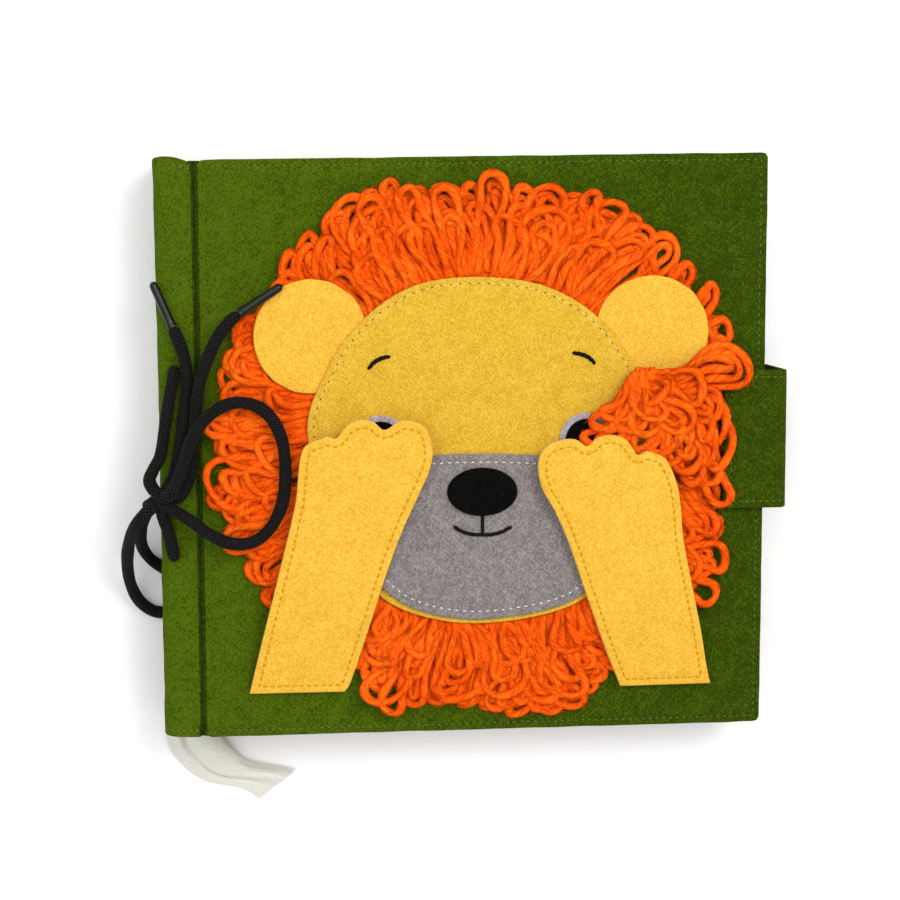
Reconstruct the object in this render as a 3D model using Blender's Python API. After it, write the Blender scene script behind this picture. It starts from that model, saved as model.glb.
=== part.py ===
"""A felt quiet book that lies closed on its back cover, with a lion on the front.

Metres, +Z up. +X points to the fore edge and +Y to the head of the book. The
origin is the middle of the back cover's underside, where the book rests. Lengths
at the top are in millimetres and are scaled once, by MM.
"""

import math

import bmesh
import bpy
from mathutils import Vector

MM = 0.001
GAP = 0.3

# Felt, board and the stack of leaves, seen from the table up
FELT = 1.5
BOARD = 1.5
LEAF_CORE = 1.8
LEAF_COUNT = 4
LEAF_GAP = 0.6
BACK_TOP = 3 * FELT + 2 * GAP
LEAF_THICK = 2 * FELT + LEAF_CORE + 2 * GAP
LEAF_PITCH = LEAF_THICK + LEAF_GAP
COVER_LOW = BACK_TOP + LEAF_GAP + LEAF_COUNT * LEAF_PITCH
COVER_TOP = COVER_LOW + 3 * FELT + 2 * GAP
BACK_HALF_X = 113.0
BACK_HALF_Y = 114.0
LEAF_INSET = 0.5
LEAF_HALF_X = BACK_HALF_X - LEAF_INSET
LEAF_HALF_Y = BACK_HALF_Y - LEAF_INSET
BOARD_INSET = 6.0
CORNER_ROUND = 2.0

# How far each corner of the front cover reaches past the back cover's, from the spine's foot round
CORNER_SIDES = [(-1, -1), (1, -1), (1, 1), (-1, 1)]
FRONT_OVERHANGS = [(0.0, 1.3), (0.3, 1.5), (1.0, 2.8), (0.0, 0.0)]
COVER_CORNERS = [
    (side_x * (BACK_HALF_X + over_x), side_y * (BACK_HALF_Y + over_y))
    for (side_x, side_y), (over_x, over_y) in zip(CORNER_SIDES, FRONT_OVERHANGS)
]

# Spine: a felt strip that wraps the sewn margins, from the front round to the back
CREASE_GAP = 1.1
STRIP_WIDTH = 14.3
STRIP_DROP = 0.5
STRIP_OVER = 0.2
BACK_LAP = 1.0
MARGIN_INSET = 1.0
CREASE_X = -BACK_HALF_X - CREASE_GAP
HINGE_RISE = 2.8
SPINE_FRONT_RIGHT = CREASE_X - CREASE_GAP
SPINE_LEFT = SPINE_FRONT_RIGHT - STRIP_WIDTH
SPINE_BACK_RIGHT = BACK_LAP - BACK_HALF_X
SPINE_LOW = BACK_TOP + GAP
SPINE_TOP = COVER_TOP - STRIP_DROP
SPINE_ROUND = 5.0
SPINE_Y = (-BACK_HALF_Y - STRIP_OVER, BACK_HALF_Y + STRIP_OVER)
MARGIN_RIGHT = SPINE_FRONT_RIGHT - 2 * GAP
MARGIN_Y = BACK_HALF_Y - MARGIN_INSET
HOLE_RADIUS = 4.2
HOLE_INSETS = (6.3, 5.1)
HOLE_HEIGHTS = (31.8, -41.3)
LACE_HOLES = [(SPINE_LEFT + inset, y) for inset, y in zip(HOLE_INSETS, HOLE_HEIGHTS)]
LEAF_ROOT = 3.0

# Lace
LACE_RADIUS = 2.5
AGLET_RADIUS = 1.75
KNOT = (-129.3, -18.4, 39.1)
KNOT_RADII = (6.0, 6.0, 4.5)
LACE_STEP = 5.0
LACE_OVER_MANE = 10.1
ON_STRIP = SPINE_TOP + GAP + LACE_RADIUS
ON_MANE = COVER_TOP + LACE_OVER_MANE
BACK_RUN = SPINE_LOW - GAP - LACE_RADIUS

# Lion: places are shares of half its width, and heights are above the front cover's felt
LION_HALF = 100.0
MANE_CENTRE_SHARES = (-0.050, 0.020)
NOSE_SHARES = (-0.025, -0.167)
EAR_LEFT_SHARES = (-0.695, 0.452)
EAR_RIGHT_SHARES = (0.659, 0.458)
EYE_LEFT_SHARES = (-0.425, 0.033)
EYE_RIGHT_SHARES = (0.395, 0.033)
EYE_CUT_SHARE = -0.012
PAW_HEM_SHARES = (-0.972, -0.980)
MOUTH_STEM_SHARE = -0.272
MANE_CENTRE = tuple(share * LION_HALF for share in MANE_CENTRE_SHARES)
MANE_INNER_SHARE = 0.72
MANE_UNDER_FACE = 2.3
MANE_CROWN = 7.0
MANE_EDGE = 2.6
MANE_CROWN_SHARE = 0.3
MANE_ROOM = 30.0
MANE_STEPS = 60
EAR_RADIUS = 22.4
EAR_LOW = 2.6
EAR_RISE = 4.4
EAR_BEND = -9.0
EAR_CENTRES = {
    "left": tuple(share * LION_HALF for share in EAR_LEFT_SHARES),
    "right": tuple(share * LION_HALF for share in EAR_RIGHT_SHARES),
}
FACE_LOW = 4.4
MUZZLE_LOW = 6.2
NOSE_LOW = 8.0
NOSE_THICK = 1.2
NOSE_CENTRE = tuple(share * LION_HALF for share in NOSE_SHARES)
NOSE_RADII = (14.0, 9.6)
EYE_LOW = 6.2
PUPIL_LOW = 7.3
EYE_THICK = 0.8
EYE_RADIUS = 10.8
PUPIL_RADIUS = 8.4
EYE_CENTRES = {
    "left": tuple(share * LION_HALF for share in EYE_LEFT_SHARES),
    "right": tuple(share * LION_HALF for share in EYE_RIGHT_SHARES),
}
EYE_CUT_Y = EYE_CUT_SHARE * LION_HALF
THREAD = 0.8
BROW_WIDTH = 1.2
MOUTH_WIDTH = 1.4
LOCK_LOW = 8.4
LOCK_THICK = 3.0

# Paws: each folds down about its hem. (distance from the hem, height of the underside)
PAW_PROFILE = [(0.0, 0.5), (12.0, 2.6), (30.0, 6.5), (40.0, 8.1), (80.0, 11.4), (112.0, 13.6)]
PAW_ROOM = [(0.0, -1.0), (9.0, -1.0)] + PAW_PROFILE[1:]
PAW_HEM_Y = {
    "left": PAW_HEM_SHARES[0] * LION_HALF,
    "right": PAW_HEM_SHARES[1] * LION_HALF,
}
PAW_AXIS_RISE = 2.2

# Closing strap round the fore edge
STRAP_Y = (-25.8, 30.0)
STRAP_THICK = 2.0
STRAP_OUT = 8.4
STRAP_FLAP_REACH = 25.4
STRAP_ANCHOR_REACH = 21.4
STRAP_X = BACK_HALF_X + STRAP_OUT
STRAP_FLAP_END = STRAP_X - STRAP_FLAP_REACH
STRAP_ANCHOR_IN = STRAP_X - STRAP_ANCHOR_REACH
PATCH_THICK = 0.7
PATCH_WIDTH = 14.0
PATCH_INSET = 2.0
PATCH_END_INSETS = (5.8, 6.0)
PATCH_X = (STRAP_FLAP_END + PATCH_INSET, STRAP_FLAP_END + PATCH_INSET + PATCH_WIDTH)
PATCH_Y = (STRAP_Y[0] + PATCH_END_INSETS[0], STRAP_Y[1] - PATCH_END_INSETS[1])

# Satin care label, curled, under the foot of the spine. Its points are measured from the
# strip's left edge and the back cover's foot, its heights along the way down to the table.
LABEL_THICK = 0.8
LABEL_HIGH = SPINE_LOW - GAP - LABEL_THICK
LABEL_HEIGHTS = [(2.0, LABEL_HIGH), (-3.0, LABEL_HIGH), (-14.0, 3.0), (-36.0, 0.6)]
LABEL_PROFILE = [(y - BACK_HALF_Y, z) for y, z in LABEL_HEIGHTS]
LABEL_PLACES = [
    (1.5, 2.0), (14.0, 2.0), (20.5, -4.5), (26.5, -14.0), (35.5, -17.5), (52.5, -20.5),
    (45.5, -27.0), (37.5, -33.0), (30.5, -29.5), (17.5, -28.0), (8.5, -22.0), (2.0, -13.0),
    (-0.5, -5.0),
]
LABEL_OUTLINE = [(SPINE_LEFT + x, y - BACK_HALF_Y) for x, y in LABEL_PLACES]

# The lion's outlines, as shares of half its width over the mane
MANE_SHARES = [
    (-0.027, 1.097), (0.210, 1.074), (0.409, 1.019), (0.649, 0.901), (0.812, 0.782),
    (0.920, 0.603), (0.998, 0.440), (1.010, 0.320), (0.972, 0.182), (0.975, -0.060),
    (1.006, -0.223), (0.995, -0.320), (0.955, -0.467), (0.867, -0.671), (0.720, -0.820),
    (0.580, -0.880), (0.500, -1.015), (0.294, -1.085), (0.049, -1.120), (-0.194, -1.080),
    (-0.355, -1.020), (-0.520, -0.930), (-0.600, -0.860), (-0.713, -0.800), (-0.870, -0.660),
    (-0.985, -0.506), (-1.042, -0.345), (-1.110, -0.185), (-1.116, 0.013), (-1.100, 0.209),
    (-1.060, 0.404), (-0.929, 0.636), (-0.791, 0.810), (-0.654, 0.925), (-0.458, 1.040),
    (-0.223, 1.086),
]
FACE_SHARES = [
    (-0.069, 0.681), (-0.266, 0.655), (-0.423, 0.574), (-0.562, 0.438), (-0.641, 0.302),
    (-0.702, 0.165), (-0.711, 0.047), (-0.678, -0.112), (-0.610, -0.293), (-0.520, -0.475),
    (-0.405, -0.604), (-0.234, -0.676), (-0.033, -0.702), (0.210, -0.676), (0.388, -0.612),
    (0.504, -0.480), (0.600, -0.316), (0.675, -0.135), (0.703, 0.026), (0.673, 0.147),
    (0.612, 0.287), (0.490, 0.468), (0.349, 0.588), (0.169, 0.660),
]
MUZZLE_SHARES = [
    (-0.660, -0.085), (-0.430, -0.031), (-0.192, -0.019), (-0.033, -0.017), (0.167, -0.024),
    (0.408, -0.044), (0.645, -0.105), (0.580, -0.300), (0.482, -0.473), (0.370, -0.597),
    (0.208, -0.656), (-0.034, -0.683), (-0.235, -0.655), (-0.380, -0.585), (-0.495, -0.452),
    (-0.588, -0.270),
]
PAW_LEFT_SHARES = [
    (-0.954, -0.970), (-0.575, -0.972), (-0.549, -0.925), (-0.490, -0.740), (-0.427, -0.534),
    (-0.362, -0.348), (-0.305, -0.216), (-0.246, -0.085), (-0.228, -0.010), (-0.235, 0.050),
    (-0.258, 0.098), (-0.301, 0.122), (-0.356, 0.123), (-0.415, 0.090), (-0.457, 0.122),
    (-0.504, 0.131), (-0.562, 0.110), (-0.602, 0.060), (-0.636, 0.068), (-0.668, 0.057),
    (-0.726, 0.030), (-0.746, -0.025), (-0.754, -0.092), (-0.767, -0.203), (-0.824, -0.443),
    (-0.890, -0.705),
]
PAW_RIGHT_SHARES = [
    (0.545, -0.980), (0.917, -0.978), (0.901, -0.920), (0.867, -0.757), (0.830, -0.604),
    (0.779, -0.367), (0.766, -0.244), (0.747, -0.142), (0.705, -0.048), (0.664, -0.020),
    (0.621, -0.010), (0.586, -0.022), (0.538, 0.040), (0.481, 0.058), (0.426, 0.048),
    (0.386, 0.014), (0.342, 0.041), (0.291, 0.042), (0.235, 0.023), (0.200, -0.016),
    (0.191, -0.076), (0.210, -0.157), (0.259, -0.243), (0.317, -0.374), (0.395, -0.594),
    (0.475, -0.811),
]
LOCK_SHARES = [
    (0.405, 0.050), (0.435, 0.130), (0.500, 0.195), (0.570, 0.280), (0.670, 0.300),
    (0.800, 0.330), (0.920, 0.340), (0.970, 0.250), (0.910, 0.130), (0.820, 0.045),
    (0.710, 0.030), (0.620, 0.055), (0.530, 0.035), (0.460, 0.020),
]
MOUTH_SHARES = [
    (-0.138, -0.306), (-0.106, -0.325), (-0.067, -0.337), (-0.024, -0.340), (0.017, -0.339),
    (0.058, -0.328), (0.090, -0.310),
]
BROW_LEFT_SHARES = [
    (-0.471, 0.324), (-0.454, 0.345), (-0.433, 0.359), (-0.412, 0.368), (-0.387, 0.372)
]
BROW_RIGHT_SHARES = [
    (0.341, 0.378), (0.369, 0.374), (0.397, 0.364), (0.415, 0.351), (0.429, 0.336)
]
MOUTH_STEM_TOP = MOUTH_STEM_SHARE * LION_HALF
MANE_OUTLINE = [(x * LION_HALF, y * LION_HALF) for x, y in MANE_SHARES]
FACE_OUTLINE = [(x * LION_HALF, y * LION_HALF) for x, y in FACE_SHARES]
MUZZLE_OUTLINE = [(x * LION_HALF, y * LION_HALF) for x, y in MUZZLE_SHARES]
LOCK_OUTLINE = [(x * LION_HALF, y * LION_HALF) for x, y in LOCK_SHARES]
MOUTH_CURVE = [(x * LION_HALF, y * LION_HALF) for x, y in MOUTH_SHARES]
PAW_OUTLINES = {
    "left": [(x * LION_HALF, y * LION_HALF) for x, y in PAW_LEFT_SHARES],
    "right": [(x * LION_HALF, y * LION_HALF) for x, y in PAW_RIGHT_SHARES],
}
BROWS = {
    "left": [(x * LION_HALF, y * LION_HALF) for x, y in BROW_LEFT_SHARES],
    "right": [(x * LION_HALF, y * LION_HALF) for x, y in BROW_RIGHT_SHARES],
}

# Routes of the lace's centre line, read through smooth curves
RUN_TOP_A = [
    (-133.2, -11.0, 38.4), (-131.6, -6.4, 37.7), (-128.8, -1.0, ON_STRIP),
    (-127.0, 9.1, ON_STRIP), (-125.2, 20.0, ON_STRIP), (-123.6, 28.0, ON_STRIP),
    (-123.2, 31.2, 36.0), (-123.2, 31.8, 33.0), (-123.2, 31.8, 24.0), (-123.2, 31.8, 14.0),
    (-123.2, 31.6, 6.4), (-123.2, 30.2, 3.4), (-123.2, 26.6, BACK_RUN),
    (-123.3, 10.0, BACK_RUN), (-123.8, -12.0, BACK_RUN), (-124.3, -36.0, BACK_RUN),
    (-124.4, -39.8, 3.4), (-124.4, -41.2, 6.4), (-124.4, -41.3, 14.0), (-124.4, -41.3, 24.0),
    (-124.4, -41.3, 33.0), (-124.5, -40.7, 36.0), (-125.0, -37.6, ON_STRIP),
    (-126.4, -31.0, ON_STRIP), (-128.2, -25.3, 38.3),
]
TAIL_LEFT = [
    (-125.7, -12.8, 38.4), (-123.2, -7.0, ON_STRIP), (-121.6, 1.0, ON_STRIP),
    (-119.6, 13.0, ON_STRIP), (-117.9, 26.7, ON_STRIP), (-118.6, 36.0, ON_STRIP),
    (-120.6, 43.0, ON_STRIP), (-123.1, 49.0, ON_STRIP),
]
AGLET_LEFT = [(-123.3, 49.4, ON_STRIP), (-130.7, 66.9, ON_STRIP)]
TAIL_RIGHT = [
    (-121.6, -16.9, 38.3), (-118.2, -11.6, ON_STRIP), (-116.4, -2.0, ON_STRIP),
    (-115.4, 8.0, 38.8), (-114.6, 16.0, 40.6), (-113.6, 24.3, 41.2), (-111.0, 33.6, 41.4),
    (-106.7, 43.6, 42.0), (-101.6, 51.0, 43.6), (-97.4, 54.4, 44.5),
]
AGLET_RIGHT = [(-97.0, 54.7, 44.6), (-80.5, 65.5, 45.4)]
LOOP_RIGHT = [
    (-125.0, -15.3, 44.8), (-122.0, -9.8, 43.6), (-119.6, -3.4, 43.3), (-116.6, 5.7, 44.5),
    (-110.9, 14.0, ON_MANE), (-102.6, 19.4, ON_MANE), (-94.6, 19.8, ON_MANE),
    (-87.0, 15.8, ON_MANE), (-81.8, 6.7, ON_MANE), (-80.2, -4.7, ON_MANE),
    (-81.2, -18.0, ON_MANE), (-85.8, -28.6, ON_MANE), (-93.0, -34.6, ON_MANE),
    (-101.6, -35.2, ON_MANE), (-109.9, -31.6, 44.2), (-116.0, -27.2, 42.6),
    (-121.4, -23.7, 41.4), (-124.0, -22.2, 40.8),
]
LOOP_LEFT = [
    (-134.8, -23.1, 42.2), (-138.9, -28.2, 39.2), (-142.0, -36.0, 30.0),
    (-143.6, -46.0, 19.5), (-143.0, -56.3, 10.5), (-139.8, -64.6, 4.8),
    (-134.0, -69.4, 2.7), (-127.0, -69.6, 2.6), (-122.2, -66.0, 2.6), (-121.2, -60.5, 2.6),
    (-123.6, -55.6, 2.6), (-129.0, -52.0, 2.6), (-134.4, -48.0, 3.8), (-137.6, -42.4, 9.5),
    (-138.2, -36.0, 18.5), (-136.8, -29.0, 28.0), (-133.8, -22.4, 35.0),
]

COLOURS = {
    "green": ((0.069, 0.117, 0.004), 0.95),
    "board": ((0.80, 0.78, 0.72), 0.9),
    "cream": ((0.82, 0.74, 0.55), 0.95),
    "yellow": ((0.86, 0.52, 0.05), 0.95),
    "sky": ((0.20, 0.45, 0.70), 0.95),
    "orange": ((0.90, 0.12, 0.01), 0.95),
    "grey": ((0.29, 0.25, 0.24), 0.95),
    "black": ((0.012, 0.011, 0.010), 0.85),
    "white": ((0.82, 0.82, 0.78), 0.7),
    "plastic": ((0.02, 0.02, 0.02), 0.25),
}


def scaled(point):
    """A point in millimetres as a vector in metres."""
    return Vector(point) * MM


def material(name, finish):
    colour, roughness = COLOURS[finish]
    made = bpy.data.materials.new(name)
    made.use_nodes = True
    shader = made.node_tree.nodes["Principled BSDF"]
    shader.inputs["Base Color"].default_value = (*colour, 1)
    shader.inputs["Roughness"].default_value = roughness
    shader.inputs["Metallic"].default_value = 0
    return made


def pivot(name, at):
    """An empty on a joint's axis, which the moving pieces hang from."""
    made = bpy.data.objects.new(name, None)
    made.location = scaled(at)
    bpy.context.collection.objects.link(made)
    return made


def add(name, bm, finish, parent=None, smooth_angle=None):
    """Makes the named object from a mesh whose points are in world millimetres."""
    bmesh.ops.recalc_face_normals(bm, faces=bm.faces)
    at = parent.location if parent else Vector((0, 0, 0))
    for vert in bm.verts:
        vert.co = vert.co * MM - at
    mesh = bpy.data.meshes.new(name)
    bm.to_mesh(mesh)
    bm.free()
    made = bpy.data.objects.new(name, mesh)
    bpy.context.collection.objects.link(made)
    made.parent = parent
    mesh.materials.append(material(name, finish))
    if smooth_angle:
        mesh.shade_smooth()
        mesh.set_sharp_from_angle(angle=math.radians(smooth_angle))
    return made


def catmull(a, b, c, d, t):
    """A point on the smooth curve from b to c."""
    return 0.5 * (
        2 * b + (c - a) * t + (2 * a - 5 * b + 4 * c - d) * t * t + (3 * b - a - 3 * c + d) * t**3
    )


def smooth_ring(points, parts=3):
    """A closed outline read smoothly through its corners."""
    spots = [Vector(p) for p in points]
    n = len(spots)
    ring = []
    for i in range(n):
        for k in range(parts):
            near = [spots[(i + j) % n] for j in (-1, 0, 1, 2)]
            ring.append(tuple(catmull(*near, k / parts)))
    return ring


def smooth_route(points, step):
    """Points about a step apart on the smooth open curve through the route."""
    spots = [Vector(p) for p in points]
    spots = [2 * spots[0] - spots[1]] + spots + [2 * spots[-1] - spots[-2]]
    fine = []
    for i in range(1, len(spots) - 2):
        fine += [catmull(*spots[i - 1 : i + 3], k / 24) for k in range(24)]
    fine.append(spots[-2])
    along = [0.0]
    for a, b in zip(fine, fine[1:]):
        along.append(along[-1] + (b - a).length)
    count = max(2, round(along[-1] / step))
    route = []
    i = 0
    for k in range(count + 1):
        want = along[-1] * k / count
        while i < len(fine) - 2 and along[i + 1] < want:
            i += 1
        share = (want - along[i]) / max(along[i + 1] - along[i], 1e-9)
        route.append(fine[i].lerp(fine[i + 1], min(1.0, share)))
    return route


def circle(centre, radii, count):
    rx, ry = radii
    turn = 2 * math.pi / count
    return [
        (centre[0] + rx * math.cos(k * turn), centre[1] + ry * math.sin(k * turn))
        for k in range(count)
    ]


def reach(centre, angle, ring):
    """How far an outline lies from a centre in one direction."""
    dx, dy = math.cos(angle), math.sin(angle)
    best = 0.0
    for (ax, ay), (bx, by) in zip(ring, ring[1:] + ring[:1]):
        ax, bx = ax - centre[0], bx - centre[0]
        ay, by = ay - centre[1], by - centre[1]
        side_a = dx * ay - dy * ax
        side_b = dx * by - dy * bx
        if side_a * side_b <= 0 and side_a != side_b:
            share = side_a / (side_a - side_b)
            best = max(best, dx * (ax + share * (bx - ax)) + dy * (ay + share * (by - ay)))
    return best


def height_at(profile, s):
    """Linear height between the stations of a profile."""
    for (a, low), (b, high) in zip(profile, profile[1:]):
        if s <= b:
            return low + (high - low) * (max(s, a) - a) / (b - a)
    return profile[-1][1]


def prism(outline, low, high):
    """A closed slab between two heights."""
    bm = bmesh.new()
    floor = [bm.verts.new((x, y, low)) for x, y in outline]
    face = bm.faces.new(floor)
    lifted = bmesh.ops.extrude_face_region(bm, geom=[face])["geom"]
    top = [v for v in lifted if isinstance(v, bmesh.types.BMVert)]
    bmesh.ops.translate(bm, verts=top, vec=(0, 0, high - low))
    return bm


def bend(bm, across, stations):
    """Cuts a slab across one direction at each station and lifts it by the profile.

    across gives a point's distance along the profile and the cut's plane.
    """
    origin, direction = across
    for s, _ in stations[1:-1]:
        geom = bm.verts[:] + bm.edges[:] + bm.faces[:]
        at = Vector((*origin, 0)) + Vector((*direction, 0)) * s
        bmesh.ops.bisect_plane(bm, geom=geom, plane_co=at, plane_no=(*direction, 0))
    for vert in bm.verts:
        s = (vert.co.x - origin[0]) * direction[0] + (vert.co.y - origin[1]) * direction[1]
        vert.co.z += height_at(stations, s)
    bmesh.ops.triangulate(bm, faces=[f for f in bm.faces if len(f.verts) > 4])
    return bm


def rounded(corners, radius, parts=4):
    """An outline with each corner turned by short arcs."""
    ring = []
    n = len(corners)
    for i in range(n):
        here = Vector(corners[i])
        before = (Vector(corners[i - 1]) - here).normalized()
        after = (Vector(corners[(i + 1) % n]) - here).normalized()
        for k in range(parts + 1):
            t = k / parts
            a = here + before * radius
            b = here + after * radius
            ring.append(tuple(a * (1 - t) ** 2 + here * 2 * t * (1 - t) + b * t * t))
    return ring


def rectangle(x0, x1, y0, y1):
    return [(x0, y0), (x1, y0), (x1, y1), (x0, y1)]


def tube(name, points, radius, finish, parent=None, sides=2):
    """A cord or a rod along points in millimetres."""
    curve = bpy.data.curves.new(name, "CURVE")
    curve.dimensions = "3D"
    curve.bevel_depth = radius * MM
    curve.bevel_resolution = sides
    curve.use_fill_caps = True
    spline = curve.splines.new("POLY")
    spline.points.add(len(points) - 1)
    at = parent.location if parent else Vector((0, 0, 0))
    for spot, point in zip(spline.points, points):
        spot.co = (*(scaled(point) - at), 1)
    made = bpy.data.objects.new(name, curve)
    bpy.context.collection.objects.link(made)
    made.parent = parent
    curve.materials.append(material(name, finish))
    return made


def cut(target, cutter):
    cutter.hide_render = True
    cutter.display_type = "WIRE"
    made = target.modifiers.new(cutter.name, "BOOLEAN")
    made.operation = "DIFFERENCE"
    made.solver = "EXACT"
    made.object = cutter


def hole_cutter(name, at, low, high):
    bm = prism(circle(at, (HOLE_RADIUS, HOLE_RADIUS), 16), low, high)
    return add(name, bm, "green")


def stroke(points, width):
    """The outline of a line of thread with a constant width."""
    spots = [Vector(p) for p in points]
    left, right = [], []
    for i, spot in enumerate(spots):
        ahead = spots[min(i + 1, len(spots) - 1)] - spots[max(i - 1, 0)]
        side = Vector((-ahead.y, ahead.x)).normalized() * width / 2
        left.append(tuple(spot + side))
        right.append(tuple(spot - side))
    return right + left[::-1]


def clear_scene():
    for ob in list(bpy.data.objects):
        bpy.data.objects.remove(ob, do_unlink=True)


def back_cover():
    flat = rounded(rectangle(-BACK_HALF_X, BACK_HALF_X, -BACK_HALF_Y, BACK_HALF_Y), CORNER_ROUND)
    add("back_cover_felt", prism(flat, 0, FELT), "green")
    low = FELT + GAP
    x, y = BACK_HALF_X - BOARD_INSET, BACK_HALF_Y - BOARD_INSET
    notch = STRAP_ANCHOR_IN - GAP
    board = [
        (-x, -y), (x, -y), (x, STRAP_Y[0] - GAP), (notch, STRAP_Y[0] - GAP),
        (notch, STRAP_Y[1] + GAP), (x, STRAP_Y[1] + GAP), (x, y), (-x, y),
    ]
    add("back_cover_board", prism(board, low, low + BOARD), "board")
    add("back_cover_lining", prism(flat, BACK_TOP - FELT, BACK_TOP), "green")


def front_cover(hinge):
    flat = rounded(COVER_CORNERS, CORNER_ROUND)
    add("front_cover_lining", prism(flat, COVER_LOW, COVER_LOW + FELT), "green", hinge)
    x, y = BACK_HALF_X - BOARD_INSET, BACK_HALF_Y - BOARD_INSET
    low = COVER_LOW + FELT + GAP
    add("front_cover_board", prism(rectangle(-x, x, -y, y), low, low + BOARD), "board", hinge)
    add("front_cover_felt", prism(flat, COVER_TOP - FELT, COVER_TOP), "green", hinge)


def spine():
    """The felt wrap, its holes, and the leaves' sewn margins inside it."""
    outer = [
        (SPINE_FRONT_RIGHT, SPINE_TOP), (SPINE_LEFT + SPINE_ROUND, SPINE_TOP),
        (SPINE_LEFT, SPINE_TOP - SPINE_ROUND), (SPINE_LEFT, SPINE_LOW + SPINE_ROUND),
        (SPINE_LEFT + SPINE_ROUND, SPINE_LOW), (SPINE_BACK_RIGHT, SPINE_LOW),
    ]
    wall = []
    for (cx, cz, start) in (
        (SPINE_LEFT + SPINE_ROUND, SPINE_TOP - SPINE_ROUND, 90),
        (SPINE_LEFT + SPINE_ROUND, SPINE_LOW + SPINE_ROUND, 180),
    ):
        for k in range(5):
            a = math.radians(start + 90 * k / 4)
            wall.append((cx, cz, math.cos(a), math.sin(a)))
    ring = [outer[0]]
    ring += [(cx + SPINE_ROUND * c, cz + SPINE_ROUND * s) for cx, cz, c, s in wall]
    ring.append(outer[-1])
    ring.append((SPINE_BACK_RIGHT, SPINE_LOW + FELT))
    inner = SPINE_ROUND - FELT
    ring += [(cx + inner * c, cz + inner * s) for cx, cz, c, s in wall[::-1]]
    ring.append((SPINE_FRONT_RIGHT, SPINE_TOP - FELT))
    bm = bmesh.new()
    face = bm.faces.new([bm.verts.new((x, SPINE_Y[0], z)) for x, z in ring])
    lifted = bmesh.ops.extrude_face_region(bm, geom=[face])["geom"]
    far = [v for v in lifted if isinstance(v, bmesh.types.BMVert)]
    bmesh.ops.translate(bm, verts=far, vec=(0, SPINE_Y[1] - SPINE_Y[0], 0))
    wrap = add("spine_felt", bm, "green", smooth_angle=30)
    cutters = [hole_cutter(f"lace_hole_{i + 1}", at, 0, COVER_TOP + LACE_STEP)
               for i, at in enumerate(LACE_HOLES)]
    room = SPINE_TOP - SPINE_LOW - 2 * FELT
    thick = (room - (LEAF_COUNT + 1) * GAP) / LEAF_COUNT
    pieces = [wrap]
    for i in range(LEAF_COUNT):
        low = SPINE_LOW + FELT + GAP + i * (thick + GAP)
        edge = inner if i in (0, LEAF_COUNT - 1) else GAP
        left = SPINE_LEFT + FELT + edge
        bm = prism(rectangle(left, MARGIN_RIGHT, -MARGIN_Y, MARGIN_Y), low, low + thick)
        pieces.append(add(f"leaf_{i + 1}_margin", bm, "cream"))
    for piece in pieces:
        for cutter in cutters:
            cut(piece, cutter)


def leaves():
    outline = rounded(
        rectangle(CREASE_X + LEAF_ROOT, LEAF_HALF_X, -LEAF_HALF_Y, LEAF_HALF_Y), CORNER_ROUND
    )
    core = rectangle(
        CREASE_X + LEAF_ROOT + BOARD_INSET, LEAF_HALF_X - BOARD_INSET,
        BOARD_INSET - LEAF_HALF_Y, LEAF_HALF_Y - BOARD_INSET,
    )
    sides = ("cream", "sky", "yellow", "grey", "orange", "cream", "green", "sky")
    for i in range(LEAF_COUNT):
        low = BACK_TOP + LEAF_GAP + i * LEAF_PITCH
        hinge = pivot(f"leaf_{i + 1}_hinge", (CREASE_X, 0, low + LEAF_THICK / 2))
        name = f"leaf_{i + 1}_"
        add(name + "back", prism(outline, low, low + FELT), sides[2 * i], hinge)
        middle = low + FELT + GAP
        add(name + "core", prism(core, middle, middle + LEAF_CORE), "white", hinge)
        top = low + LEAF_THICK
        add(name + "front", prism(outline, top - FELT, top), sides[2 * i + 1], hinge)


def grown(ring, by):
    """An outline moved outwards by a small amount, for a clearance cut."""
    spots = [Vector(p) for p in ring]
    turn = sum(a.x * b.y - a.y * b.x for a, b in zip(spots, spots[1:] + spots[:1]))
    made = []
    for i, spot in enumerate(spots):
        along = spots[(i + 1) % len(spots)] - spots[i - 1]
        out = Vector((along.y, -along.x)).normalized()
        made.append(tuple(spot + out * math.copysign(by, turn)))
    return made


def ear_way(side):
    """The direction from the face to the ear, in which the ear rises."""
    cx, cy = EAR_CENTRES[side]
    return Vector((cx - MANE_CENTRE[0], cy - MANE_CENTRE[1] - EAR_RADIUS / 2)).normalized()


def ear_slab(side, radius, low, thick):
    """An ear's disc, flat under the face and rising outwards."""
    centre = EAR_CENTRES[side]
    bm = prism(circle(centre, (radius, radius), 36), COVER_TOP + low, COVER_TOP + low + thick)
    rise = EAR_RISE * (radius - EAR_BEND) / (EAR_RADIUS - EAR_BEND)
    stations = [(-radius, EAR_LOW), (EAR_BEND, EAR_LOW), (radius, EAR_LOW + rise)]
    return bend(bm, (centre, ear_way(side)), stations)


def paw_ring(side):
    """A paw's outline: straight along the hem, and smooth from there over the toes."""
    corners = PAW_OUTLINES[side]
    spots = [Vector(p) for p in corners[1:] + corners[:1]]
    spots = [2 * spots[0] - spots[1]] + spots + [2 * spots[-1] - spots[-2]]
    ring = []
    for i in range(1, len(spots) - 2):
        ring += [tuple(catmull(*spots[i - 1 : i + 3], k / 2)) for k in range(2)]
    return ring + [tuple(spots[-2])]


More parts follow.
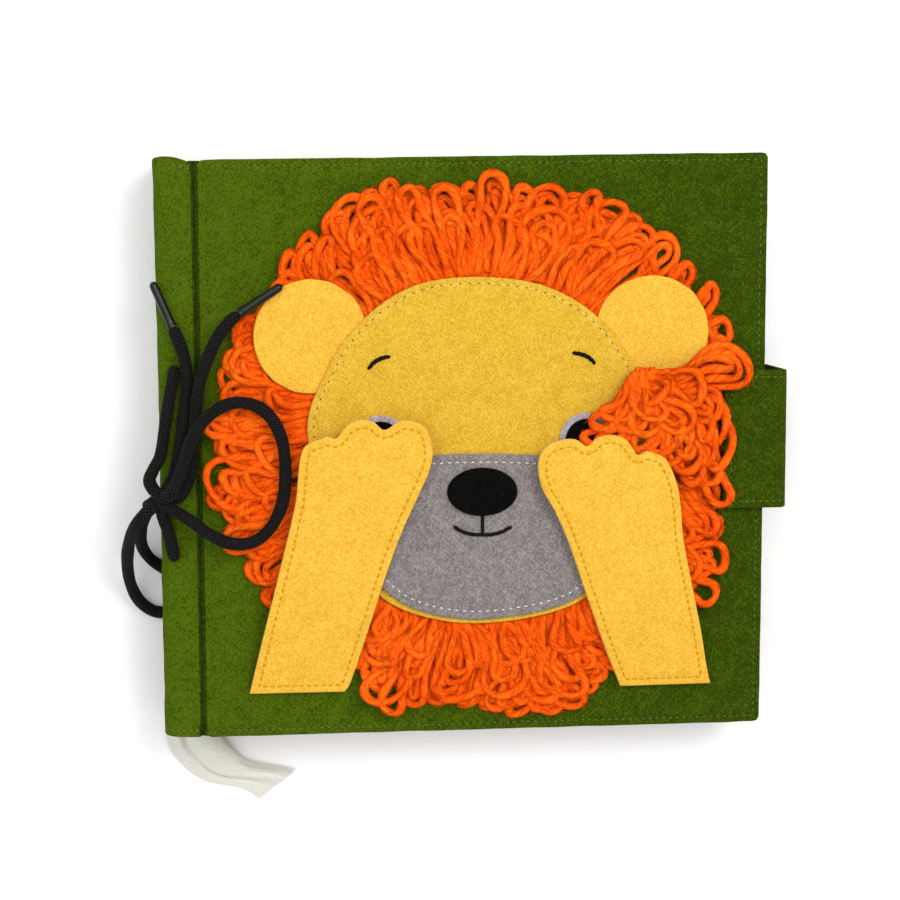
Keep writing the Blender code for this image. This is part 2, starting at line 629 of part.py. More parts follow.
def room_cutters():
    """Solids that clear the mane from the ears, the paws and the strap."""
    flap = rectangle(STRAP_FLAP_END - GAP, STRAP_X, STRAP_Y[0] - GAP, STRAP_Y[1] + GAP)
    bm = prism(flap, COVER_TOP - GAP, COVER_TOP + MANE_ROOM)
    cutters = [add("strap_room", bm, "green")]
    for side in EAR_CENTRES:
        bm = ear_slab(side, EAR_RADIUS + 2 * GAP, -GAP, MANE_ROOM)
        cutters.append(add(f"ear_room_{side}", bm, "yellow"))
        hem = PAW_HEM_Y[side]
        bm = prism(grown(paw_ring(side), 3 * GAP), COVER_TOP - GAP, COVER_TOP + MANE_ROOM)
        bend(bm, ((0, hem), (0, 1)), PAW_ROOM)
        cutters.append(add(f"paw_room_{side}", bm, "yellow"))
    return cutters


def mane_top(share):
    """The mane's height over the cover. share runs from the face's edge to the fringe."""
    if share <= 0:
        return MANE_UNDER_FACE
    rise = min(1.0, share / MANE_CROWN_SHARE)
    fall = max(0.0, (share - MANE_CROWN_SHARE) / (1 - MANE_CROWN_SHARE))
    high = MANE_UNDER_FACE + (MANE_CROWN - MANE_UNDER_FACE) * math.sin(rise * math.pi / 2)
    return high - (MANE_CROWN - MANE_EDGE) * fall**1.6


def mane(hinge):
    """Loops of yarn round the face, as one padded ring in four parts."""
    face = smooth_ring(FACE_OUTLINE)
    fringe = smooth_ring(MANE_OUTLINE, 2)
    shares = (-1.0, 0.0, 0.03, 0.16, 0.32, 0.55, 0.8, 1.0)
    parts = {"right": (-9, 9), "top": (9, 21), "left": (21, 38), "bottom": (38, 51)}
    cutters = room_cutters()
    for part, (first, last) in parts.items():
        bm = bmesh.new()
        rows = []
        for k in range(first, last + 1):
            angle = 2 * math.pi * k / MANE_STEPS
            edge = reach(MANE_CENTRE, angle, face)
            far = reach(MANE_CENTRE, angle, fringe)
            shift = 0.0
            if k == first:
                shift = GAP / 2
            if k == last:
                shift = -GAP / 2
            side = Vector((-math.sin(angle), math.cos(angle))) * shift
            row = []
            for share in shares:
                r = edge * MANE_INNER_SHARE if share < 0 else edge + share * (far - edge)
                x = MANE_CENTRE[0] + r * math.cos(angle) + side.x
                y = MANE_CENTRE[1] + r * math.sin(angle) + side.y
                top = bm.verts.new((x, y, COVER_TOP + mane_top(share)))
                low = bm.verts.new((x, y, COVER_TOP + GAP))
                row.append((top, low))
            rows.append(row)
        for a, b in zip(rows, rows[1:]):
            for i in range(len(shares) - 1):
                bm.faces.new((a[i][0], a[i + 1][0], b[i + 1][0], b[i][0]))
                bm.faces.new((a[i][1], b[i][1], b[i + 1][1], a[i + 1][1]))
            bm.faces.new((a[0][0], b[0][0], b[0][1], a[0][1]))
            bm.faces.new((a[-1][0], a[-1][1], b[-1][1], b[-1][0]))
        for row in (rows[0], rows[-1]):
            for (top, low), (top2, low2) in zip(row, row[1:]):
                bm.faces.new((top, low, low2, top2))
        bmesh.ops.triangulate(bm, faces=bm.faces)
        made = add(f"mane_{part}", bm, "orange", hinge, smooth_angle=50)
        for cutter in cutters:
            cut(made, cutter)
    lock = prism(smooth_ring(LOCK_OUTLINE, 2), COVER_TOP + LOCK_LOW, COVER_TOP + LOCK_LOW + LOCK_THICK)
    add("mane_lock", lock, "orange", hinge, smooth_angle=40)


def lion_face(hinge):
    low = COVER_TOP + FACE_LOW
    add("face_felt", prism(smooth_ring(FACE_OUTLINE), low, low + FELT), "yellow", hinge)
    low = COVER_TOP + MUZZLE_LOW
    add("muzzle_felt", prism(smooth_ring(MUZZLE_OUTLINE), low, low + FELT), "grey", hinge)
    low = COVER_TOP + NOSE_LOW
    nose = circle(NOSE_CENTRE, NOSE_RADII, 32)
    add("nose_felt", prism(nose, low, low + NOSE_THICK), "black", hinge)
    curve = stroke(MOUTH_CURVE, MOUTH_WIDTH)
    count = len(MOUTH_CURVE)
    mid = count // 2
    stem_x = MOUTH_CURVE[mid][0]
    under = curve[:count]
    over = curve[count:]
    stem = [
        (stem_x + MOUTH_WIDTH / 2, over[mid][1]), (stem_x + MOUTH_WIDTH / 2, MOUTH_STEM_TOP),
        (stem_x - MOUTH_WIDTH / 2, MOUTH_STEM_TOP), (stem_x - MOUTH_WIDTH / 2, over[mid][1]),
    ]
    outline = under + over[:mid] + stem + over[mid + 1 :]
    add("mouth_stitch", prism(outline, low, low + THREAD), "black", hinge)
    for side in EAR_CENTRES:
        add(f"ear_{side}", ear_slab(side, EAR_RADIUS, 0, FELT), "yellow", hinge)
        ex, ey = EYE_CENTRES[side]
        for name, radius, level, finish in (
            ("eye_ring", EYE_RADIUS, EYE_LOW, "white"),
            ("pupil", PUPIL_RADIUS, PUPIL_LOW, "black"),
        ):
            ring = [(x, max(y, EYE_CUT_Y)) for x, y in circle((ex, ey), (radius, radius), 32)]
            kept = [p for p, q in zip(ring, ring[1:] + ring[:1]) if p[1] > EYE_CUT_Y]
            drop = math.sqrt(radius**2 - (ey - EYE_CUT_Y) ** 2)
            start = max(range(len(kept)), key=lambda i: (kept[i][0] < ex, -kept[i][1]))
            ordered = kept[start + 1 :] + kept[: start + 1]
            ordered += [(ex - drop, EYE_CUT_Y), (ex + drop, EYE_CUT_Y)]
            base = COVER_TOP + level
            add(f"{name}_{side}", prism(ordered, base, base + EYE_THICK), finish, hinge)
        low = COVER_TOP + FACE_LOW + FELT + GAP
        add(f"brow_{side}", prism(stroke(BROWS[side], BROW_WIDTH), low, low + THREAD), "black", hinge)


def paws(cover_hinge):
    for side, hem in PAW_HEM_Y.items():
        ring = paw_ring(side)
        hinge = pivot(f"paw_{side}_hinge", (0, hem, COVER_TOP + PAW_AXIS_RISE))
        hinge.parent = cover_hinge
        hinge.location -= cover_hinge.location
        for name, lift, finish in (("backing", 0, "yellow"), ("felt", FELT + GAP, "yellow")):
            bm = prism(ring, COVER_TOP + lift, COVER_TOP + lift + FELT)
            bend(bm, ((0, hem), (0, 1)), PAW_PROFILE)
            world = Vector((0, hem, COVER_TOP + PAW_AXIS_RISE))
            for vert in bm.verts:
                vert.co -= world
            add_local(f"paw_{side}_{name}", bm, finish, hinge)


def add_local(name, bm, finish, parent):
    """Like add, for points already measured from the parent's place."""
    made = add(name, bm, finish)
    made.parent = parent
    return made


def strap(cover_hinge):
    """A felt strap, sewn into the back cover, that closes over the fore edge."""
    y0, y1 = STRAP_Y
    low = FELT + GAP
    inner = STRAP_X - STRAP_THICK / 2
    anchor = rectangle(STRAP_ANCHOR_IN, inner - 2 * GAP, y0, y1)
    add("strap_anchor", prism(anchor, low, low + FELT), "green")
    under = pivot("strap_wrap_hinge", (STRAP_X, 0, low + FELT / 2))
    flap_low = COVER_TOP + 2 * PATCH_THICK + 3 * GAP
    rise = rectangle(inner, inner + STRAP_THICK, y0, y1)
    add("strap_wrap", prism(rise, low, flap_low - GAP), "green", under)
    over = pivot("strap_flap_hinge", (STRAP_X, 0, flap_low + STRAP_THICK / 2))
    over.parent = under
    over.location -= under.location
    world = scaled((STRAP_X, 0, flap_low + STRAP_THICK / 2)) / MM
    flap = prism(rectangle(STRAP_FLAP_END, STRAP_X, y0, y1), flap_low, flap_low + STRAP_THICK)
    hook_low = COVER_TOP + PATCH_THICK + 2 * GAP
    patch = rounded(rectangle(*PATCH_X, *PATCH_Y), CORNER_ROUND)
    hook = prism(patch, hook_low, hook_low + PATCH_THICK)
    for bm in (flap, hook):
        for vert in bm.verts:
            vert.co -= world
    add_local("strap_flap", flap, "green", over)
    add_local("strap_hooks", hook, "black", over)
    loops = prism(patch, COVER_TOP + GAP, COVER_TOP + GAP + PATCH_THICK)
    add("strap_loops", loops, "black", cover_hinge)


def lace():
    """One black lace through both holes, tied in a bow with a loop and a tail each side."""
    tube("lace_run", smooth_route(RUN_TOP_A, LACE_STEP), LACE_RADIUS, "black")
    tube("lace_tail_left", smooth_route(TAIL_LEFT, 2.4 * LACE_STEP), LACE_RADIUS, "black")
    tube("lace_loop_left", smooth_route(LOOP_LEFT, 2 * LACE_STEP), LACE_RADIUS, "black")
    tube("aglet_left", AGLET_LEFT, AGLET_RADIUS, "plastic")
    bow = pivot("bow_right_hinge", KNOT)
    tube("lace_tail_right", smooth_route(TAIL_RIGHT, 2.4 * LACE_STEP), LACE_RADIUS, "black", bow)
    tube("lace_loop_right", smooth_route(LOOP_RIGHT, 2 * LACE_STEP), LACE_RADIUS, "black", bow)
    tube("aglet_right", AGLET_RIGHT, AGLET_RADIUS, "plastic", bow)
    bm = bmesh.new()
    bmesh.ops.create_uvsphere(bm, u_segments=16, v_segments=10, radius=1)
    for vert in bm.verts:
        vert.co = Vector(c * r + k for c, r, k in zip(vert.co, KNOT_RADII, KNOT))
    add("lace_knot", bm, "black", smooth_angle=60)


def label():
    bm = prism(LABEL_OUTLINE, 0, LABEL_THICK)
    start = LABEL_PROFILE[0][0]
    stations = [(start - y, z) for y, z in LABEL_PROFILE]
    bend(bm, ((0, start), (0, -1)), stations)
    add("care_label", bm, "white")


def main():
    clear_scene()
    cover_hinge = pivot("front_cover_hinge", (CREASE_X, 0, COVER_TOP + HINGE_RISE))
    back_cover()
    front_cover(cover_hinge)
    spine()
    leaves()
    mane(cover_hinge)
    lion_face(cover_hinge)
    paws(cover_hinge)
    strap(cover_hinge)
    lace()
    label()


main()
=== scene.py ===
"""Dresses the closed quiet book: craft felt, wool roving, sewing thread, a braided lace and satin.

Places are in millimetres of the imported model's frame. They become metres where a mesh is made.
The book lies on its back cover, with its spine at -X, its head at +Y and the lion on top.
"""

import logging
import math
from collections.abc import Callable, Sequence
from dataclasses import dataclass, field
from enum import Enum

import bpy
import numpy as np
from mathutils import Matrix, Vector
from mathutils.geometry import delaunay_2d_cdt


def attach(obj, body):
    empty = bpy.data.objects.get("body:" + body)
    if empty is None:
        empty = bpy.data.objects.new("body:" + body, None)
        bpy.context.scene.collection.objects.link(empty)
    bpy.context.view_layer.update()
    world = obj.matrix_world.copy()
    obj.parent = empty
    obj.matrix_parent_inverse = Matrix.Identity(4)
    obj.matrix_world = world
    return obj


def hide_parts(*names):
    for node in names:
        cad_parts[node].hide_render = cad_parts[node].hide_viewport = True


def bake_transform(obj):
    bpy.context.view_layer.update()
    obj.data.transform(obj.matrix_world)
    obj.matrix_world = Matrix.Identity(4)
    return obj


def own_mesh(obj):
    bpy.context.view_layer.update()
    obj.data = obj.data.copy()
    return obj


Tree = bpy.types.NodeTree
Socket = bpy.types.NodeSocket
Piece = bpy.types.Object
Spot = tuple[float, float]
Point = tuple[float, float, float]
Route = list[Point]
Feature = tuple[Spot, Spot, float, float, float, float]

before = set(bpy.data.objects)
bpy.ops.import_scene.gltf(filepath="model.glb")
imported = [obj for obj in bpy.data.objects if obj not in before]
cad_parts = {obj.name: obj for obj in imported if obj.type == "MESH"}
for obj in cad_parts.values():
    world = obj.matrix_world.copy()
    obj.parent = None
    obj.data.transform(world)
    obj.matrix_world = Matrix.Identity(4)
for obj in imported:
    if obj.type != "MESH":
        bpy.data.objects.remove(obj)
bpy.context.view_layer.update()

LOG = logging.getLogger("quiet_book")

MM = 0.001
NOISE = "ShaderNodeTexNoise"
WAVE = "ShaderNodeTexWave"
# The length in which Blender's diagonal wave repeats, in the units of its coordinates.
WAVE_REPEAT = 0.628
NO_POINTS = np.empty((0, 3))

# Sizes and places that several pieces share, in millimetres.
RIB_PITCH = 1.6
FELT = 1.5
COVER_TOP = 34.8
COVER_LOW = 29.7
BACK_TOP = 5.1
LEAF_PITCH = 6.0
LEAF_THICK = 5.4
CREASE_X = -114.1
SPINE_TOP = 34.3
SPINE_LOW = 5.4
SPINE_LEFT = -129.5
ON_STRIP = SPINE_TOP + 2.8
STRAP_Y = (-25.8, 30.0)
MARGIN_LOW = 7.2
MARGIN_PITCH = 6.4
LEAF_COUNT = 4
ON_MANE = COVER_TOP + 10.1
BACK_RUN = SPINE_LOW - 2.8

FACE_OUTLINE = [
    (-6.9, 68.1), (-26.6, 65.5), (-42.3, 57.4), (-56.2, 43.8), (-64.1, 30.2), (-70.2, 16.5),
    (-71.1, 4.7), (-67.8, -11.2), (-61, -29.3), (-52, -47.5), (-40.5, -60.4),
    (-23.4, -67.6), (-3.3, -70.2), (21, -67.6), (38.8, -61.2), (50.4, -48),
    (60, -31.6), (67.5, -13.5), (70.3, 2.6), (67.3, 14.7), (61.2, 28.7), (49, 46.8),
    (34.9, 58.8), (16.9, 66),
]
MANE_OUTLINE = [
    (-2.7, 109.7), (21, 107.4), (40.9, 101.9), (64.9, 90.1), (81.2, 78.2), (92, 60.3),
    (99.8, 44), (101, 32), (97.2, 18.2), (97.5, -6), (100.6, -22.3), (99.5, -32),
    (95.5, -46.7), (86.7, -67.1), (72, -82), (58, -88), (50, -101.5), (29.4, -108.5),
    (4.9, -112), (-19.4, -108), (-35.5, -102), (-52, -93), (-60, -86),
    (-71.3, -80), (-87, -66), (-98.5, -50.6), (-104.2, -34.5), (-111, -18.5),
    (-111.6, 1.3), (-110, 20.9), (-106, 40.4), (-92.9, 63.6), (-79.1, 81),
    (-65.4, 92.5), (-45.8, 104), (-22.3, 108.6),
]
MUZZLE_OUTLINE = [
    (-66, -8.5), (-43, -3.1), (-19.2, -1.9), (-3.3, -1.7), (16.7, -2.4), (40.8, -4.4),
    (64.5, -10.5), (58, -30), (48.2, -47.3), (37, -59.7), (20.8, -65.6), (-3.4, -68.3),
    (-23.5, -65.5), (-38, -58.5), (-49.5, -45.2), (-58.8, -27),
]
PAW_OUTLINES = {
    "left": [
        (-95.4, -97), (-57.5, -97.2), (-54.9, -92.5), (-49, -74), (-42.7, -53.4),
        (-36.2, -34.8), (-30.5, -21.6), (-24.6, -8.5), (-22.8, -1), (-23.5, 5), (-25.8, 9.8),
        (-30.1, 12.2), (-35.6, 12.3), (-41.5, 9), (-45.7, 12.2), (-50.4, 13.1), (-56.2, 11),
        (-60.2, 6), (-63.6, 6.8), (-66.8, 5.7), (-72.6, 3), (-74.6, -2.5), (-75.4, -9.2),
        (-76.7, -20.3), (-82.4, -44.3), (-89, -70.5),
    ],
    "right": [
        (54.5, -98), (91.7, -97.8), (90.1, -92), (86.7, -75.7), (83, -60.4),
        (77.9, -36.7), (76.6, -24.4), (74.7, -14.2), (70.5, -4.8), (66.4, -2), (62.1, -1),
        (58.6, -2.2), (53.8, 4), (48.1, 5.8), (42.6, 4.8), (38.6, 1.4), (34.2, 4.1),
        (29.1, 4.2), (23.5, 2.3), (20, -1.6), (19.1, -7.6), (21, -15.7), (25.9, -24.3),
        (31.7, -37.4), (39.5, -59.4), (47.5, -81.1),
    ],
}
PAW_HEM_Y = {"left": -97.2, "right": -98.0}
EAR_CENTRES = {"left": (-69.5, 45.2), "right": (65.9, 45.8)}
EAR_RADIUS = 22.4


# Curves and outlines


def unit(ways: np.ndarray) -> np.ndarray:
    """Directions brought to length 1, where they have one."""
    return ways / np.maximum(np.linalg.norm(ways, axis=-1, keepdims=True), 1e-9)


def smooth_line(points: Sequence[Sequence[float]], step: float, closed: bool = False) -> np.ndarray:
    """Reads a smooth curve through chosen points.

    Args:
        points: The chosen points, of two or three numbers each.
        step: The wanted distance between the points returned, in millimetres.
        closed: True for an outline.

    Returns:
        Points evenly spaced along the curve.
    """
    spots = np.array(points, float)
    if closed:
        spots = np.vstack([spots[-1], spots, spots[0], spots[1]])
    else:
        spots = np.vstack([2 * spots[0] - spots[1], spots, 2 * spots[-1] - spots[-2]])
    t = np.linspace(0, 1, 24, endpoint=False)[:, None]
    fine = [
        0.5 * (2 * b + (c - a) * t + (2 * a - 5 * b + 4 * c - d) * t**2 + (3 * b - a - 3 * c + d) * t**3)
        for a, b, c, d in zip(spots, spots[1:], spots[2:], spots[3:])
    ]
    last = spots[1] if closed else spots[-2]
    line = evenly(np.vstack([*fine, last[None]]), step)
    return line[:-1] if closed else line


def evenly(line: np.ndarray, step: float) -> np.ndarray:
    """Spaces a polyline's points evenly.

    Args:
        line: The polyline's points in order.
        step: The wanted spacing in millimetres.

    Returns:
        The new points, with both ends kept.
    """
    whole = lengths(line)[-1]
    return places_on(line, np.linspace(0, whole, max(2, round(whole / step)) + 1))


def lengths(line: np.ndarray) -> np.ndarray:
    """The distance travelled at each point of a polyline."""
    return np.concatenate([[0.0], np.cumsum(np.linalg.norm(np.diff(line, axis=0), axis=1))])


def places_on(line: np.ndarray, want: np.ndarray) -> np.ndarray:
    """The points at wanted distances along a polyline."""
    return np.stack([np.interp(want, lengths(line), column) for column in line.T], axis=-1)


def swept(profile: np.ndarray, rows: np.ndarray) -> np.ndarray:
    """Carries an (x, z) profile along Y.

    Args:
        profile: The profile's points.
        rows: The places along Y.

    Returns:
        The grid of points, with shape (profile, rows, 3).
    """
    grid = np.empty((len(profile), len(rows), 3))
    grid[..., 0], grid[..., 1], grid[..., 2] = profile[:, None, 0], rows[None], profile[:, None, 1]
    return grid


def rounded(corners: Sequence[Sequence[float]], radius: float) -> np.ndarray:
    """Turns each corner of an outline by a short curve.

    Args:
        corners: The outline's corners.
        radius: How far from the corner the curve starts, in millimetres.

    Returns:
        The outline's points, close together.
    """
    spots = np.array(corners, float)
    ring = []
    for before, here, after in zip(np.roll(spots, 1, 0), spots, np.roll(spots, -1, 0)):
        a = here + (before - here) / np.linalg.norm(before - here) * radius
        b = here + (after - here) / np.linalg.norm(after - here) * radius
        for t in np.linspace(0, 1, 5):
            ring.append(a * (1 - t) ** 2 + here * 2 * t * (1 - t) + b * t * t)
    return evenly(np.array([*ring, ring[0]]), 1.8)[:-1]


def box_outline(x0: float, x1: float, y0: float, y1: float, radius: float = 2.0) -> np.ndarray:
    """A rectangle's outline with softly turned corners."""
    return rounded([(x0, y0), (x1, y0), (x1, y1), (x0, y1)], radius)


def circle(centre: Sequence[float], rx: float, ry: float, step: float = 1.2) -> np.ndarray:
    """An ellipse's outline.

    Args:
        centre: Its centre.
        rx: Its half width.
        ry: Its half height.
        step: The wanted distance between its points.

    Returns:
        Its points in order.
    """
    turn = np.linspace(0, 2 * np.pi, max(16, round(2 * np.pi * max(rx, ry) / step)), endpoint=False)
    return np.stack([centre[0] + rx * np.cos(turn), centre[1] + ry * np.sin(turn)], axis=1)


def edge_distance(spots: np.ndarray, ring: np.ndarray) -> np.ndarray:
    """How far each point lies from an outline.

    Args:
        spots: The points, two numbers each.
        ring: The outline's points in order.

    Returns:
        One distance for each point, never negative.
    """
    a = ring
    d = np.roll(ring, -1, 0) - ring
    size = (d**2).sum(1)
    parts = []
    for block in np.array_split(spots, max(1, len(spots) // 400)):
        gap = block[:, None] - a
        t = np.clip((gap * d).sum(2) / size, 0, 1)
        parts.append(np.sqrt((((gap - t[..., None] * d)) ** 2).sum(2)).min(1))
    return np.concatenate(parts)


def inside(spots: np.ndarray, ring: np.ndarray) -> np.ndarray:
    """Tells which points lie inside an outline.

    Args:
        spots: The points, two numbers each.
        ring: The outline's points in order.

    Returns:
        True or False for each point.
    """
    nxt = np.roll(ring, -1, 0)
    x, y = spots[:, :1], spots[:, 1:2]
    crosses = (ring[:, 1] > y) != (nxt[:, 1] > y)
    slope = (nxt[:, 0] - ring[:, 0]) / np.where(nxt[:, 1] == ring[:, 1], 1e-9, nxt[:, 1] - ring[:, 1])
    return (crosses & (x < ring[:, 0] + (y - ring[:, 1]) * slope)).sum(1) % 2 == 1


def offset_line(ring: np.ndarray, inset: float) -> np.ndarray:
    """The line that runs a set distance inside an outline.

    Args:
        ring: The outline.
        inset: The distance inwards, in millimetres.

    Returns:
        The points of the inner line, in order, without those that fold over at a tight corner.
    """
    along = np.roll(ring, -1, 0) - np.roll(ring, 1, 0)
    turn = (ring[:, 0] * np.roll(ring[:, 1], -1) - np.roll(ring[:, 0], -1) * ring[:, 1]).sum()
    out = np.stack([along[:, 1], -along[:, 0]], 1) * math.copysign(1, turn)
    moved = ring - out / np.linalg.norm(out, axis=1)[:, None] * inset
    return moved[edge_distance(moved, ring) > inset - 0.03]


def ripple(spots: np.ndarray, size: float, seed: float = 0.0) -> np.ndarray:
    """A smooth, irregular wave over the plane, from -1 to 1.

    Args:
        spots: The points, with x and y first.
        size: The wave's usual length in millimetres.
        seed: Any number, which shifts the pattern.

    Returns:
        The wave's height at each point.
    """
    x, y = spots[..., 0] / size * 6.3, spots[..., 1] / size * 6.3
    return (
        np.sin(x * 0.83 + 0.47 * y + seed) * np.cos(y * 0.91 - 0.31 * x + 1.7 * seed)
        + 0.6 * np.sin(1.7 * x - 1.3 * y + 2.1 * seed + 1.0)
        + 0.4 * np.cos(2.3 * x + 2.9 * y + 0.7 * seed)
    ) / 2.0


def eased(t: np.ndarray | float) -> np.ndarray:
    """A smooth step from 0 to 1."""
    t = np.clip(t, 0, 1)
    return t * t * (3 - 2 * t)


def ribs(line: np.ndarray, sides: int) -> tuple[np.ndarray, np.ndarray]:
    """The knitted lace's ribs, which run round it both ways.

    Args:
        line: The lace's centre line.
        sides: The corners of its section.

    Returns:
        The distance at each point, and the ribs' height at each corner, from -2 to 2.
    """
    v = lengths(line)[:, None]
    u = np.arange(sides)[None] / sides * 2 * np.pi
    wave = 2 * np.pi * v / RIB_PITCH
    return v, np.sin(wave + 2 * u) + np.sin(wave - 2 * u)


# Finishes


def linear(code: str) -> tuple[float, float, float, float]:
    """Turns a colour code into the numbers that a shader reads.

    Args:
        code: An sRGB hex colour.

    Returns:
        Linear red, green and blue, and a full alpha.
    """
    parts = [int(code[i : i + 2], 16) / 255 for i in (1, 3, 5)]
    return (*(c / 12.92 if c <= 0.04045 else ((c + 0.055) / 1.055) ** 2.4 for c in parts), 1.0)


def add_node(tree: Tree, kind: str, settings: dict[str, object], inputs: dict[str | int, object],
             stops: Sequence[tuple[float, str]] = ()) -> bpy.types.Node:
    """Adds a node with its settings, its inputs and, where it is a ramp, its colours.

    Args:
        tree: The material's node tree.
        kind: The node's type name.
        settings: Attribute names and values.
        inputs: Socket names or numbers, each with a value or another node's output.
        stops: A ramp's places from low to high, each with its hex colour.

    Returns:
        The new node.
    """
    node = tree.nodes.new(kind)
    for name, value in settings.items():
        setattr(node, name, value)
    for name, value in inputs.items():
        if isinstance(value, Socket):
            tree.links.new(value, node.inputs[name])
        else:
            node.inputs[name].default_value = value
    for at, (place, code) in enumerate(stops):
        ramp = node.color_ramp.elements
        stop = ramp[at] if at < 2 else ramp.new(place)
        stop.position, stop.color = place, linear(code)
    return node


class Space(Enum):
    """What a pattern is laid out on: the object's own space, or a strand's length and girth."""

    OBJECT = "Object"
    STRAND = "strand"


@dataclass(frozen=True)
class Finish:
    """A material with a middle, a dark and a light tone, and what every finish here shares.

    A pattern's scale is its repeats for each millimetre along the three axes of the object, or
    round a strand and for each millimetre along it.
    """

    name: str
    tone: str
    dark: str
    light: str
    roughness: float = 0.95

    def material(self) -> bpy.types.Material:
        """The finish's material, made the first time that it is asked for.

        Returns:
            The material.
        """
        made = bpy.data.materials.get(self.name)
        if made is None:
            made = bpy.data.materials.new(self.name)
            made.use_nodes = True
            tree = made.node_tree
            self.dress(tree, tree.nodes["Principled BSDF"])
        return made

    def dress(self, tree: Tree, shader: bpy.types.Node) -> None:
        """Adds the finish's own nodes to the shader."""
        raise NotImplementedError

    def millimetres(self, tree: Tree, space: Space, scale: Sequence[float],
                    turn: float = 0.0) -> Socket:
        """The pattern's coordinates.

        Args:
            tree: The material's node tree.
            space: What the pattern is laid out on.
            scale: The pattern's scale.
            turn: The pattern's turn about Z in degrees.

        Returns:
            The socket with the coordinates.
        """
        if space is Space.OBJECT:
            source = add_node(tree, "ShaderNodeTexCoord", {}, {}).outputs["Object"]
            scale = [s / MM for s in scale]
        else:
            source = add_node(tree, "ShaderNodeUVMap", {"uv_map": space.value}, {}).outputs[0]
        turned = add_node(
            tree, "ShaderNodeMapping", {}, {0: source, "Rotation": (0, 0, math.radians(turn))}
        )
        sized = add_node(tree, "ShaderNodeMapping", {}, {0: turned.outputs[0], "Scale": scale})
        return sized.outputs[0]

    def mixed(self, tree: Tree, parts: Sequence[tuple]) -> Socket:
        """Adds patterns up by their weights.

        Args:
            tree: The material's node tree.
            parts: Pairs of a pattern's socket and its weight.

        Returns:
            The socket with the sum.
        """
        total = 0.0
        for socket, weight in parts:
            total = add_node(tree, "ShaderNodeMath", {"operation": "MULTIPLY_ADD"},
                             {0: socket, 1: weight, 2: total}).outputs[0]
        return total

    def surface(self, tree: Tree, shader: bpy.types.Node, look: Socket,
                places: Sequence[float], relief: Spot, levels: dict[str, object],
                height: Socket | None = None, pits: bool = False) -> None:
        """Colours the shader after a pattern and raises it in relief.

        Args:
            tree: The material's node tree.
            shader: The shader.
            look: The pattern that the colour follows.
            places: Where on the pattern the dark, the middle and the light tone lie.
            relief: The relief's strength and its depth in millimetres.
            levels: The shader's other sockets and their values.
            height: The pattern that the relief follows, where it isn't the colour's.
            pits: True where the pattern's low places are the light and raised ones.
        """
        tones = (self.dark, self.tone, self.light)
        stops = list(zip(places, tones[::-1] if pits else tones))
        colour = add_node(tree, "ShaderNodeValToRGB", {}, {0: look}, stops)
        bump = add_node(tree, "ShaderNodeBump", {"invert": pits}, {
            "Height": look if height is None else height, "Strength": relief[0], "Distance": relief[1] * MM})
        tree.links.new(colour.outputs[0], shader.inputs["Base Color"])
        tree.links.new(bump.outputs[0], shader.inputs["Normal"])
        for socket, level in {"Roughness": self.roughness, **levels}.items():
            shader.inputs[socket].default_value = level


@dataclass(frozen=True)
class CraftFelt(Finish):
    """Needle-punched polyester craft felt.

    The crossed fibres are 0.02 mm thick. They are drawn as flecks of about 0.7 mm and streaks
    0.6 mm wide, because anything finer is lost at this distance. The nap scatters light, so there
    is no gloss, only a soft sheen at grazing angles. Where nap is set, a painted shade makes the felt
    darker towards +X and lighter towards -X, in place of light that falls off across the book.
    """

    sheen: float = 0.25
    # nap: painted shade, how much darker the colour gets per millimetre towards +X
    nap: float = 0.0

    def dress(self, tree: Tree, shader: bpy.types.Node) -> None:
        """Mottling, flecks, three crossed directions of fibre and, through nap, a painted shade along X.

        Args:
            tree: The material's node tree.
            shader: The shader.
        """
        cloud, fleck = (
            add_node(tree, NOISE, {}, {
                "Vector": self.millimetres(tree, Space.OBJECT, (scale,) * 3),
                "Scale": 1.0, "Detail": detail, "Roughness": rough}).outputs[0]
            for scale, detail, rough in ((0.12, 3.0, 0.6), (1.35, 2.0, 0.75))
        )
        streaks = [
            add_node(tree, NOISE, {}, {
                "Vector": self.millimetres(tree, Space.OBJECT, (0.3, 1.75, 1.3), turn),
                "Scale": 1.0, "Detail": 2.0, "Roughness": 0.6, "Distortion": 0.5}).outputs[0]
            for turn in (38.0, -47.0, 95.0)
        ]
        # Painted shade: the colour darkens along the object's X by nap per millimetre, for uneven light.
        across = add_node(tree, "ShaderNodeSeparateXYZ", {}, {
            0: self.millimetres(tree, Space.OBJECT, (1.0, 1.0, 1.0))}).outputs[0]
        look = self.mixed(tree, [(cloud, 0.12), (fleck, 0.46), *zip(streaks, (0.23, 0.23, 0.16)),
                                 (across, -self.nap)])
        height = self.mixed(tree, [(fleck, 0.6), *((streak, 0.5) for streak in streaks)])
        self.surface(tree, shader, look, (0.52, 0.60, 0.68), (0.55, 0.35), {
            "Specular IOR Level": 0.06, "Sheen Weight": self.sheen, "Sheen Roughness": 0.6,
            "Sheen Tint": linear(self.light)}, height)


